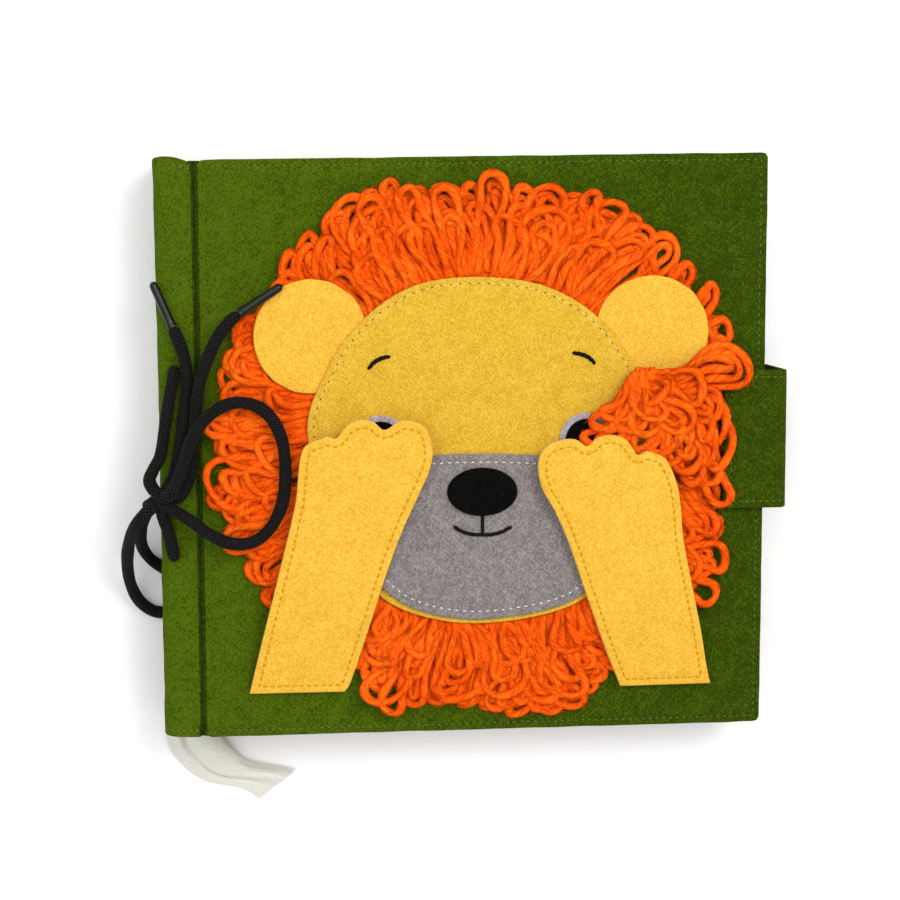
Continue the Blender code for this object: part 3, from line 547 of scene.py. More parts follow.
@dataclass(frozen=True)
class WoolRoving(Finish):
    """Loosely spun wool: soft streaks of fibre along the strand, darker between the fibres.

    A fibre is 0.03 mm thick. The streaks are drawn nine to a turn of the strand, some 1 mm apart,
    so that they show. Each strand is also painted lighter on its top and darker on its underside:
    a painted highlight and a painted shade of light from above.
    """

    def dress(self, tree: Tree, shader: bpy.types.Node) -> None:
        """Streaks along each strand, a slow change of dye from place to place and painted top light.

        Args:
            tree: The material's node tree.
            shader: The shader.
        """
        streak = add_node(tree, NOISE, {}, {
            "Vector": self.millimetres(tree, Space.STRAND, (9.0, 0.16, 1.0), 4.0),
            "Scale": 1.0, "Detail": 3.0, "Roughness": 0.7, "Distortion": 0.6}).outputs[0]
        dye, nap = (
            add_node(tree, NOISE, {}, {
                "Vector": self.millimetres(tree, Space.OBJECT, (scale,) * 3),
                "Scale": 1.0, "Detail": 2.0, "Roughness": rough}).outputs[0]
            for scale, rough in ((0.06, 0.6), (1.8, 0.7))
        )
        # Painted highlight and shade: the sine of the turn round the strand lightens its top and darkens its
        # underside.
        around = add_node(tree, "ShaderNodeSeparateXYZ", {}, {
            0: self.millimetres(tree, Space.STRAND, (2 * math.pi, 1.0, 1.0))})
        painted_top_light = add_node(tree, "ShaderNodeMath", {"operation": "SINE"}, {0: around.outputs[0]}).outputs[0]
        look = self.mixed(tree, [(streak, 0.55), (dye, 0.25), (nap, 0.2), (painted_top_light, 0.13)])
        height = self.mixed(tree, [(streak, 0.8), (nap, 0.5)])
        self.surface(tree, shader, look, (0.42, 0.58, 0.72), (0.9, 0.9), {
            "Specular IOR Level": 0.05, "Sheen Weight": 0.35, "Sheen Roughness": 0.5,
            "Sheen Tint": linear(self.light)}, height)


@dataclass(frozen=True)
class TwistedThread(Finish):
    """Polyester or cotton sewing thread: plies that wind round, with a faint lustre."""

    pitch: float = 1.2

    def dress(self, tree: Tree, shader: bpy.types.Node) -> None:
        """Slanted plies. Real plies are 0.3 mm apart, drawn at twice the pitch so that they show.

        Args:
            tree: The material's node tree.
            shader: The shader.
        """
        wave = add_node(tree, WAVE, {"bands_direction": "DIAGONAL"}, {
            "Vector": self.millimetres(tree, Space.STRAND, (1.0, 0.32 / self.pitch, 1.0)),
            "Scale": 1.0, "Distortion": 0.6, "Detail": 1.0})
        fuzz = add_node(tree, NOISE, {}, {
            "Vector": self.millimetres(tree, Space.OBJECT, (2.0, 2.0, 2.0)), "Scale": 1.0, "Detail": 2.0})
        look = self.mixed(tree, [(wave.outputs[1], 0.5), (fuzz.outputs[0], 0.5)])
        self.surface(tree, shader, look, (0.2, 0.5, 0.8), (0.5, 0.2), {
            "Specular IOR Level": 0.1, "Sheen Weight": 0.03})


@dataclass(frozen=True)
class KnittedBraid(Finish):
    """A round polyester shoe lace, knitted: crossed slanted ribs with paler points between."""

    rib: float = 1.2

    def dress(self, tree: Tree, shader: bpy.types.Node) -> None:
        """Two slanted waves that cross. The real ribs are 0.6 mm apart, drawn at twice that.

        Args:
            tree: The material's node tree.
            shader: The shader.
        """
        waves = [
            add_node(tree, WAVE, {"bands_direction": "DIAGONAL", "wave_profile": "SIN"}, {
                "Vector": self.millimetres(
                    tree, Space.STRAND, (WAVE_REPEAT * turns, WAVE_REPEAT / self.rib, 0.0)),
                "Scale": 1.0, "Distortion": 0.8, "Detail": 1.0, "Detail Scale": 2.0}).outputs[1]
            for turns in (8, -8)
        ]
        specks = add_node(tree, NOISE, {}, {
            "Vector": self.millimetres(tree, Space.OBJECT, (1.6, 1.6, 1.6)),
            "Scale": 1.0, "Detail": 2.0, "Roughness": 0.8})
        look = self.mixed(tree, [*((wave, 0.27) for wave in waves), (specks.outputs[0], 0.46)])
        self.surface(tree, shader, look, (0.35, 0.58, 0.78), (0.8, 0.45), {
            "Specular IOR Level": 0.14, "Sheen Weight": 0.02, "Sheen Roughness": 0.4})


@dataclass(frozen=True)
class ShrunkFilm(Finish):
    """Acetate film shrunk round the lace's tip: smooth and glossy, with faint pulls along it."""

    def dress(self, tree: Tree, shader: bpy.types.Node) -> None:
        """Pulls 8 mm long, which also break up the gloss a little.

        Args:
            tree: The material's node tree.
            shader: The shader.
        """
        pull = add_node(tree, NOISE, {}, {
            "Vector": self.millimetres(tree, Space.STRAND, (6.0, 0.12, 1.0)),
            "Scale": 1.0, "Detail": 2.0}).outputs[0]
        gloss = add_node(tree, "ShaderNodeMapRange", {}, {
            0: pull, "From Min": 0.3, "From Max": 0.7, "To Min": 0.18, "To Max": 0.36})
        self.surface(tree, shader, pull, (0.3, 0.55, 0.8), (0.3, 0.15), {
            "Specular IOR Level": 0.25, "Coat Weight": 0.15, "Coat Roughness": 0.08})
        tree.links.new(gloss.outputs[0], shader.inputs["Roughness"])


@dataclass(frozen=True)
class SatinRibbon(Finish):
    """Woven polyester satin: a soft directional gloss with faint weft lines."""

    def dress(self, tree: Tree, shader: bpy.types.Node) -> None:
        """Weft lines. Real ones are 0.15 mm apart, drawn at about 0.45 mm so that they show.

        Args:
            tree: The material's node tree.
            shader: The shader.
        """
        weft = add_node(tree, NOISE, {}, {
            "Vector": self.millimetres(tree, Space.OBJECT, (0.3, 2.2, 0.8), 25.0),
            "Scale": 1.0, "Detail": 3.0, "Roughness": 0.6})
        self.surface(tree, shader, weft.outputs[0], (0.3, 0.5, 0.7), (0.12, 0.2), {"Sheen Weight": 0.15})


@dataclass(frozen=True)
class HookTape(Finish):
    """Woven nylon hook-and-loop tape: a field of tiny tufts in rows."""

    def dress(self, tree: Tree, shader: bpy.types.Node) -> None:
        """Tufts 1.2 mm apart.

        Args:
            tree: The material's node tree.
            shader: The shader.
        """
        tufts = add_node(tree, "ShaderNodeTexVoronoi", {}, {
            "Vector": self.millimetres(tree, Space.OBJECT, (0.85, 0.85, 0.85)),
            "Scale": 1.0, "Randomness": 0.4})
        self.surface(tree, shader, tufts.outputs[0], (0.1, 0.4, 0.7), (0.9, 0.6), {}, pits=True)


@dataclass(frozen=True)
class PressedStock(Finish):
    """A soft, pale, plain stock: wadding, grey board or the floor, by its grain size."""

    grain: float = 2.0
    depth: float = 0.2

    def dress(self, tree: Tree, shader: bpy.types.Node) -> None:
        """One even grain in colour and relief.

        Args:
            tree: The material's node tree.
            shader: The shader.
        """
        grain = add_node(tree, NOISE, {}, {
            "Vector": self.millimetres(tree, Space.OBJECT, (1 / self.grain,) * 3),
            "Scale": 1.0, "Detail": 4.0, "Roughness": 0.6})
        self.surface(tree, shader, grain.outputs[0], (0.3, 0.5, 0.7), (0.4, self.depth), {})


# The nap of the green felt and its cut edge is a painted shade: darker towards +X, lighter towards -X.
GREEN_FELT = CraftFelt("green_craft_felt", "#374b03", "#263701", "#495f08", sheen=0.1, nap=0.00042)
# A darker, sheenless copy of the green felt: painted shade along the front crease.
CREASE_SHADE_FELT = CraftFelt("green_felt_painted_crease_shade", "#263502", "#1a2601", "#324409", sheen=0.0)
GREEN_EDGE = CraftFelt("green_felt_cut_edge", "#435808", "#324504", "#5a7018", sheen=0.1, nap=0.0004)
YELLOW_FELT = CraftFelt("golden_craft_felt", "#dcaa39", "#cd9a2c", "#eab94a", sheen=0.08)
YELLOW_EDGE = CraftFelt("golden_felt_cut_edge", "#e9c982", "#d9b35f", "#f5deab", sheen=0.1)
FACE_FELT = CraftFelt("lion_face_felt", "#caa12f", "#b98f22", "#dab344", sheen=0.08)
GREY_FELT = CraftFelt("muzzle_craft_felt", "#7a7372", "#67605f", "#908989", sheen=0.08)
GREY_EDGE = CraftFelt("muzzle_felt_cut_edge", "#a9a19f", "#8f8684", "#c4bdbb", sheen=0.2)
BLACK_FELT = CraftFelt("black_craft_felt", "#060605", "#020202", "#0f0e0d", sheen=0.0)
EYE_FELT = CraftFelt("eye_craft_felt", "#a09599", "#8b8186", "#b5abb0", sheen=0.1)
CREAM_FELT = CraftFelt("cream_craft_felt", "#e9dfc3", "#d8cba8", "#f5efdd", sheen=0.2)
SKY_FELT = CraftFelt("sky_craft_felt", "#7fb2d6", "#699dc4", "#9cc6e4", sheen=0.2)
ORANGE_FELT = CraftFelt("orange_craft_felt", "#ee6a1e", "#d95812", "#f98639", sheen=0.2)
LEAF_GREY_FELT = CraftFelt("grey_craft_felt", "#938987", "#807674", "#aaa19f", sheen=0.2)
# The roving's light and dark tones also carry the painted highlight on each strand's top and the painted shade
# beneath.
ROVING = WoolRoving("orange_wool_roving", "#ee5105", "#9a2003", "#ff7419")
GREEN_THREAD = TwistedThread("green_sewing_thread", "#5c6b2e", "#46541f", "#7f8d50", 0.8)
CREAM_THREAD = TwistedThread("cream_sewing_thread", "#dcc98c", "#b9a15c", "#ecdfb4", 0.7)
GOLD_THREAD = TwistedThread("gold_sewing_thread", "#c7900c", "#a97806", "#dba51f", 0.8)
WHITE_THREAD = TwistedThread("white_sewing_thread", "#dcd6d3", "#b5aeab", "#f4f0ee", 0.6)
BLACK_THREAD = TwistedThread("black_embroidery_thread", "#0a0908", "#040404", "#171513", 0.75)
# Painted shadow in each needle hole: dark discs laid on the felt between the stitches.
PAINTED_HOLE_SHADOW = TwistedThread("needle_hole_shadow", "#2c2a0a", "#1c1a05", "#3d3a12", 0.9)
BRAID = KnittedBraid("black_knitted_braid", "#060505", "#020202", "#33302c", 0.85)
TIP_FILM = ShrunkFilm("black_lace_tip_film", "#060505", "#030303", "#0c0b0a", 0.2)
SATIN = SatinRibbon("white_satin_ribbon", "#cfcec3", "#c8c7bb", "#d7d6cc", 0.4)
TAPE = HookTape("black_hook_tape", "#131313", "#060606", "#2a2a2a", 0.7)
WADDING = PressedStock("white_polyester_wadding", "#eeece6", "#dcdad2", "#f8f7f3", 1.0, grain=3.0, depth=0.8)
SEWN_GREEN = (GREEN_FELT, GREEN_EDGE, GREEN_THREAD, PAINTED_HOLE_SHADOW)
BOARD = PressedStock("grey_pressed_board", "#cfc8b8", "#b9b09d", "#ded8ca", 0.9, grain=1.2)
PAPER = PressedStock("white_studio_paper", "#f4f4f5", "#f3f3f4", "#f5f5f6", 0.85, grain=6.0, depth=0.02)


# Meshes


def sheet_normals(grid: np.ndarray) -> np.ndarray:
    """The direction straight off a grid of points, at each of them."""
    return unit(np.cross(np.gradient(grid, axis=0), np.gradient(grid, axis=1)))


class Mesher:
    """Gathers the points and faces of one object, in millimetres, before it is made."""

    def __init__(self) -> None:
        """Starts empty."""
        self.points: list[np.ndarray] = []
        self.count = 0
        self.faces: list[np.ndarray] = []
        self.slots: list[np.ndarray] = []
        self.girths: list[np.ndarray] = []

    def add(self, points: np.ndarray, faces: np.ndarray, slot: int = 0, girth: np.ndarray | None = None) -> int:
        """Adds a set of faces that all have the same number of corners.

        Args:
            points: New points, or an empty array to reuse those added last.
            faces: Each face's corners, counted from the first of all points.
            slot: The place of the finish in the object's list.
            girth: Where each corner lies round and along its strand.

        Returns:
            The number of points so far.
        """
        if len(points):
            self.points.append(points.reshape(-1, 3))
            self.count += len(self.points[-1])
        if len(faces):
            self.faces.append(faces)
            self.slots.append(np.full(len(faces), slot))
            self.girths.append(np.zeros((*faces.shape, 2)) if girth is None else girth)
        return self.count

    def strands(self, paths: np.ndarray, radii: np.ndarray | float, sides: int, slot: int = 0,
                flat: float = 1.0, side: np.ndarray | None = None, capped: bool = True) -> None:
        """Sweeps a round strand along each of many paths.

        Args:
            paths: Points with shape (strands, points, 3).
            radii: The radius, for all or with shape (strands, points) or (strands, points, sides).
            sides: The corners of the strand's section.
            slot: The place of the finish in the object's list.
            flat: The section's height as a share of its width.
            side: Each point's sideways direction, where it isn't level.
            capped: True to close both ends.
        """
        many, n = paths.shape[:2]
        along = unit(np.gradient(paths, axis=1))
        if side is None:
            side = np.cross(along, (0.0, 0.0, 1.0))
            bare = np.linalg.norm(side, axis=2, keepdims=True) < 1e-3
            side = unit(np.where(bare, np.array((1.0, 0.0, 0.0)), side))
        rise = np.cross(side, along)
        radii = np.asarray(radii, float)
        if radii.ndim < 3:
            radii = np.broadcast_to(radii[..., None] if radii.ndim == 2 else radii, (many, n, sides))
        turn = 2 * np.pi * np.arange(sides) / sides
        ring = np.cos(turn)[:, None] * side[:, :, None] + flat * np.sin(turn)[:, None] * rise[:, :, None]
        spots = paths[:, :, None] + radii[..., None] * ring
        index = self.count + np.arange(many * n * sides).reshape(many, n, sides)
        nxt = np.roll(index, -1, axis=2)
        quads = np.stack([index[:, :-1], index[:, 1:], nxt[:, 1:], nxt[:, :-1]], axis=-1).reshape(-1, 4)
        travelled = np.concatenate(
            [np.zeros((many, 1)), np.cumsum(np.linalg.norm(np.diff(paths, axis=1), axis=2), axis=1)], axis=1
        ) + 37.0 * np.arange(many)[:, None]
        u0 = np.broadcast_to((np.arange(sides) / sides)[None, None], (many, n - 1, sides))
        v0 = np.broadcast_to(travelled[:, :-1, None], u0.shape)
        v1 = np.broadcast_to(travelled[:, 1:, None], u0.shape)
        u1 = u0 + 1 / sides
        girth = np.stack([np.stack(uv, -1) for uv in ((u0, v0), (u0, v1), (u1, v1), (u1, v0))], axis=-2)
        self.add(spots, quads, slot, girth.reshape(-1, 4, 2))
        if capped:
            self.add(NO_POINTS, index[:, 0], slot)
            self.add(NO_POINTS, index[:, -1, ::-1], slot)

    def tube(self, path: np.ndarray, radii: np.ndarray | float, sides: int, slot: int = 0,
             flat: float = 1.0) -> None:
        """Sweeps one strand along a path that may stand upright.

        Args:
            path: The path's points.
            radii: The radius, for all or with shape (points,) or (points, sides).
            sides: The corners of the strand's section.
            slot: The place of the finish in the object's list.
            flat: The section's height as a share of its width.
        """
        along = unit(np.gradient(path, axis=0))
        side = np.cross(along[0], (0.0, 0.0, 1.0) if abs(along[0][2]) < 0.9 else (0.0, 1.0, 0.0))
        sides_way = []
        for way in along:
            side = unit(side - way * np.dot(side, way))
            sides_way.append(side)
        radii = np.asarray(radii, float)
        if radii.ndim:
            radii = radii[None]
        self.strands(path[None], radii, sides, slot, flat, np.array(sides_way)[None])

    def sheet(self, grid: np.ndarray, thick: np.ndarray | float, slot: int = 0, edge_slot: int = 0,
              soft: float = 0.6) -> None:
        """Gives a grid of points a thickness, with softly rounded edges.

        Args:
            grid: The sheet's middle surface, with shape (rows, columns, 3).
            thick: Its thickness in millimetres.
            slot: The place of the face's finish.
            edge_slot: The place of the edge's finish.
            soft: How far in from the edge the faces round off, in millimetres.
        """
        rows, columns = grid.shape[:2]
        normal = sheet_normals(grid)
        step = [np.linalg.norm(np.diff(grid, axis=a), axis=2).mean(1 - a) for a in (0, 1)]
        reach = [np.concatenate([[0], np.cumsum(s)]) for s in step]
        gap = [np.minimum(r, r[-1] - r) for r in reach]
        near = np.minimum(gap[0][:, None], gap[1][None, :])
        round_off = 1 - 0.42 * (1 - np.clip(near / soft, 0, 1)) ** 2
        half = (np.asarray(thick) / 2 * round_off)[..., None]
        spots = np.stack([grid + normal * half, grid - normal * half])
        index = self.count + np.arange(spots.size // 3).reshape(2, rows, columns)
        top, low = index
        faces = np.stack([top[:-1, :-1], top[1:, :-1], top[1:, 1:], top[:-1, 1:]], -1).reshape(-1, 4)
        under = np.stack([low[:-1, :-1], low[:-1, 1:], low[1:, 1:], low[1:, :-1]], -1).reshape(-1, 4)
        self.add(spots, np.concatenate([faces, under]), slot)
        for line, flip in ((index[:, 0, :], False), (index[:, -1, :], True),
                           (index[:, :, 0], True), (index[:, :, -1], False)):
            wall = np.stack([line[0, :-1], line[0, 1:], line[1, 1:], line[1, :-1]], -1)
            self.add(NO_POINTS, wall[:, ::-1] if flip else wall, edge_slot)

    def build(self, name: str, finishes: Sequence[Finish], sharp: float = 60.0) -> Piece:
        """Makes the object.

        Args:
            name: The object's name.
            finishes: The finishes, in the order of the faces' slots.
            sharp: The angle in degrees above which an edge isn't shaded smooth.

        Returns:
            The new object, linked to the scene.
        """
        mesh = bpy.data.meshes.new(name)
        faces = [face for block in self.faces for face in block.tolist()]
        mesh.from_pydata((np.concatenate(self.points) * MM).tolist(), [], faces)
        layer = mesh.uv_layers.new(name=Space.STRAND.value)
        flat = np.concatenate([block.reshape(-1, 2) for block in self.girths])
        layer.data.foreach_set("uv", flat.astype(np.float32).ravel())
        mesh.polygons.foreach_set("material_index", np.concatenate(self.slots).astype(np.int32))
        for finish in finishes:
            mesh.materials.append(finish.material())
        mesh.shade_smooth()
        mesh.set_sharp_from_angle(angle=math.radians(sharp))
        mesh.update()
        made = bpy.data.objects.new(name, mesh)
        bpy.context.collection.objects.link(made)
        return made


@dataclass
class FeltCut:
    """A flat cut of felt, with soft edges and, where it's sewn, a drawn-in stitch line.

    Heights are in millimetres above the table, before lift is added.
    """

    outline: np.ndarray
    low: float
    high: float
    sewn: float = 0.0
    sink: float = 0.3
    draw: float = 0.0
    draw_over: float = 7.0
    lift: Callable[[np.ndarray], np.ndarray] | None = None
    ease: Callable[[np.ndarray], np.ndarray] | None = None
    relief: float = 0.1
    spacing: float = 5.0
    seed: float = 0.0

    def half_at(self, gap: np.ndarray) -> np.ndarray:
        """Half the thickness at a distance from the edge, which rounds off over 0.7 mm."""
        return (self.high - self.low) / 2 * (1 - 0.45 * (1 - np.clip(gap / 0.7, 0, 1)) ** 2)

    def shift(self, spots: np.ndarray, gap: np.ndarray) -> np.ndarray:
        """How far the whole thickness is moved up or down.

        Args:
            spots: The points.
            gap: Their distances from the edge.

        Returns:
            The move at each point.
        """
        moved = -self.draw * (1 - eased(gap / self.draw_over))
        if self.ease:
            moved = moved * self.ease(spots)
        if self.lift:
            moved = moved + self.lift(spots)
        return moved + self.relief * (ripple(spots, 23, self.seed) + 0.4 * ripple(spots, 7, self.seed + 3))

    def top(self, spots: np.ndarray) -> np.ndarray:
        """Reads the upper face.

        Args:
            spots: The points, two numbers each.

        Returns:
            The face's height at each point.
        """
        gap = edge_distance(spots, self.outline)
        height = (self.low + self.high) / 2 + self.half_at(gap) + self.shift(spots, gap)
        if self.sewn:
            height = height - self.sink * np.exp(-(((gap - self.sewn) / 0.6) ** 2))
        return height

    def seam(self, inset: float) -> np.ndarray:
        """Draws the closed stitch line on the upper face.

        Args:
            inset: Its distance inside the edge.

        Returns:
            The line's points.
        """
        line = offset_line(self.outline, inset)
        line = np.vstack([line, line[:1]])
        return np.column_stack([line, self.top(line)])

    def mesh(self, into: Mesher, slot: int = 0, edge_slot: int = 1) -> None:
        """Adds the cut to a mesh.

        Args:
            into: The mesh being gathered.
            slot: The place of the face's finish.
            edge_slot: The place of the cut edge's finish.
        """
        insets = [0.25, 0.7]
        if self.sewn:
            insets += [self.sewn - 0.75, self.sewn, self.sewn + 0.75]
        if self.draw:
            insets += [d for d in (self.draw_over * 0.5, self.draw_over) if d > insets[-1] + 0.8]
        rings = [self.outline] + [offset_line(self.outline, d)[:: 1 if d < 4 else 2] for d in insets]
        low, high = self.outline.min(0), self.outline.max(0)
        x, y = np.meshgrid(np.arange(low[0], high[0], self.spacing), np.arange(low[1], high[1], self.spacing))
        field_points = np.column_stack([x.ravel(), y.ravel()])
        field_points[:, 0] += np.repeat(np.arange(x.shape[0]) % 2, x.shape[1]) * self.spacing / 2
        keep = inside(field_points, self.outline)
        keep &= edge_distance(field_points, self.outline) > insets[-1] + self.spacing * 0.4
        spots = np.vstack([*rings, field_points[keep]])
        border = list(range(len(self.outline)))
        made = delaunay_2d_cdt([Vector(p) for p in spots], [], [border], 1, 1e-5)
        flat = np.array([tuple(v) for v in made[0]])
        faces = np.array([f for f in made[2] if len(f) == 3])
        turned = np.cross(flat[faces[:, 1]] - flat[faces[:, 0]], flat[faces[:, 2]] - flat[faces[:, 0]]) < 0
        faces[turned] = faces[turned][:, ::-1]
        gap = edge_distance(flat, self.outline)
        under = (self.low + self.high) / 2 - self.half_at(gap) + self.shift(flat, gap)
        points = np.concatenate([np.column_stack([flat, self.top(flat)]), np.column_stack([flat, under])])
        n, base = len(flat), into.count
        into.add(points, base + np.concatenate([faces, faces[:, ::-1] + n]), slot)
        pairs = np.concatenate([faces[:, [0, 1]], faces[:, [1, 2]], faces[:, [2, 0]]])
        known = {tuple(p) for p in pairs.tolist()}
        rim = np.array([p for p in pairs.tolist() if (p[1], p[0]) not in known])
        walls = np.stack([rim[:, 1], rim[:, 0], rim[:, 0] + n, rim[:, 1] + n], -1) + base
        into.add(NO_POINTS, walls, edge_slot)


@dataclass
class StitchRow:
    """A row of running stitches along a line on a surface."""

    line: np.ndarray
    pitch: float = 2.9
    share: float = 0.66
    width: float = 0.5
    rise: float = 0.28
    hole: float = 0.5

    def mesh(self, into: Mesher, slot: int, hole_shadow_slot: int | None = None) -> None:
        """Adds the stitches, and a painted shadow of a needle hole between them, to a mesh.

        Args:
            into: The mesh being gathered.
            slot: The place of the thread's finish.
            hole_shadow_slot: The place of the finish of the painted needle-hole shadows, or None for none.
        """
        whole = lengths(self.line)[-1]
        count = max(1, round(whole / self.pitch))
        pitch = whole / count
        start = np.arange(count)[:, None] * pitch
        want = start + pitch * (0.5 + self.share * (np.linspace(0, 1, 7) - 0.5))[None]
        paths = places_on(self.line, want)
        arch = np.sin(np.linspace(0, np.pi, 7))
        paths[..., 2] += (self.rise + 0.25) * arch**0.6 - 0.25
        radii = np.broadcast_to(self.width / 2 * (0.55 + 0.45 * arch), paths.shape[:2])
        into.strands(paths, radii, 6, slot, 0.8)
        # Painted shadows: small dark discs on the felt where the needle went through.
        if hole_shadow_slot is not None:
            want = start + self.hole * np.linspace(-0.6, 0.6, 3)[None]
            holes = places_on(self.line, want % whole)
            holes[..., 2] += 0.02
            round_hole_shadow = np.broadcast_to(self.hole / 2 * np.array([0.5, 1.0, 0.5]), holes.shape[:2])
            into.strands(holes, round_hole_shadow, 6, hole_shadow_slot, 0.4)


def sewn_piece(name: str, cut: FeltCut, finishes: Sequence[Finish], *rows: StitchRow,
               holes: bool = False) -> Piece:
    """Makes an object of one cut and the stitches on it.

    Args:
        name: The object's name.
        cut: The cut.
        finishes: Face, cut edge, thread and the painted shadow of the needle holes.
        rows: The rows of stitches.
        holes: True to paint shadows where the needle went through.

    Returns:
        The new object.
    """
    into = Mesher()
    cut.mesh(into)
    for row in rows:
        row.mesh(into, 2, 3 if holes else None)
    return into.build(name, finishes)


def settle(piece: Piece, body: str, slot: str, *nodes: str) -> Piece:
    """Puts a piece on its body and hides the nodes that it stands for.

    Args:
        piece: The piece.
        body: The body that it moves with.
        slot: The record's material slot.
        nodes: The CAD nodes that it replaces.

    Returns:
        The same piece.
    """
    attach(piece, body)
    return claim(piece, slot, *nodes)


def claim(piece: Piece, slot: str, *nodes: str) -> Piece:
    """Hides the nodes that a piece replaces and logs them, for a piece that already moves.

    Args:
        piece: The piece.
        slot: The record's material slot. It is not used.
        nodes: The CAD nodes that it replaces.

    Returns:
        The same piece.
    """
    if nodes:
        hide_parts(*nodes)
    LOG.info("%s: %d faces, for %s", piece.name, len(piece.data.polygons), ", ".join(nodes) or "detail")
    return piece


# The camera and the light


@dataclass
class Studio:
    """The photograph's camera, a soft studio light from above right, and a white floor."""

    place: Point = (-95.3, 88.4, 823.7)
    turn: Point = (6.4, 5.86, 0.56)
    lens: float = 80.0
    floor_half: float = 3000.0
    floor_middle: float = -0.55
    sky: float = 0.86
    lamps: tuple[tuple[str, Point, float, float], ...] = (
        ("key_softbox", (430, 520, 1150), 520, 7.2), ("fill_softbox", (-450, 300, 1250), 900, 5.2))

    def camera(self) -> None:
        """Stands the camera where the photograph was taken."""
        data = bpy.data.cameras.new("photo_camera")
        data.lens = self.lens
        data.sensor_width = 36.0
        data.clip_start, data.clip_end = 0.01, 20.0
        made = bpy.data.objects.new("photo_camera", data)
        axis = Vector(self.turn)
        facing = Matrix.Rotation(-math.radians(axis.length), 4, axis.normalized())
        made.matrix_world = Matrix.Translation(Vector(self.place) * MM) @ facing
        bpy.context.collection.objects.link(made)
        bpy.context.scene.camera = made

    def lamp(self, name: str, at: Point, size: float, power: float) -> None:
        """A square softbox that faces the book.

        Args:
            name: The lamp's name.
            at: Its place in millimetres.
            size: Its side in millimetres.
            power: Its power in watts.
        """
        data = bpy.data.lights.new(name, "AREA")
        data.size = size * MM
        data.energy = power
        data.color = (1.0, 0.99, 0.97)
        made = bpy.data.objects.new(name, data)
        made.location = Vector(at) * MM
        made.rotation_euler = (-Vector(at)).to_track_quat("-Z", "Y").to_euler()
        bpy.context.collection.objects.link(made)

    def build(self) -> None:
        """Lights the set and lays the floor."""
        scene = bpy.context.scene
        scene.view_settings.view_transform = "Standard"
        world = bpy.data.worlds.new("soft_studio")
        world.use_nodes = True
        sky = world.node_tree.nodes["Background"]
        sky.inputs[0].default_value = (1, 1, 1, 1)
        sky.inputs[1].default_value = self.sky
        scene.world = world
        for lamp in self.lamps:
            self.lamp(*lamp)
        floor = Mesher()
        side = np.linspace(-self.floor_half, self.floor_half, 5)
        x, y = np.meshgrid(side, side, indexing="ij")
        floor.sheet(np.stack([x, y, np.full_like(x, self.floor_middle)], -1), 1.0)
        floor.build("studio_floor", [PAPER])


# The lace


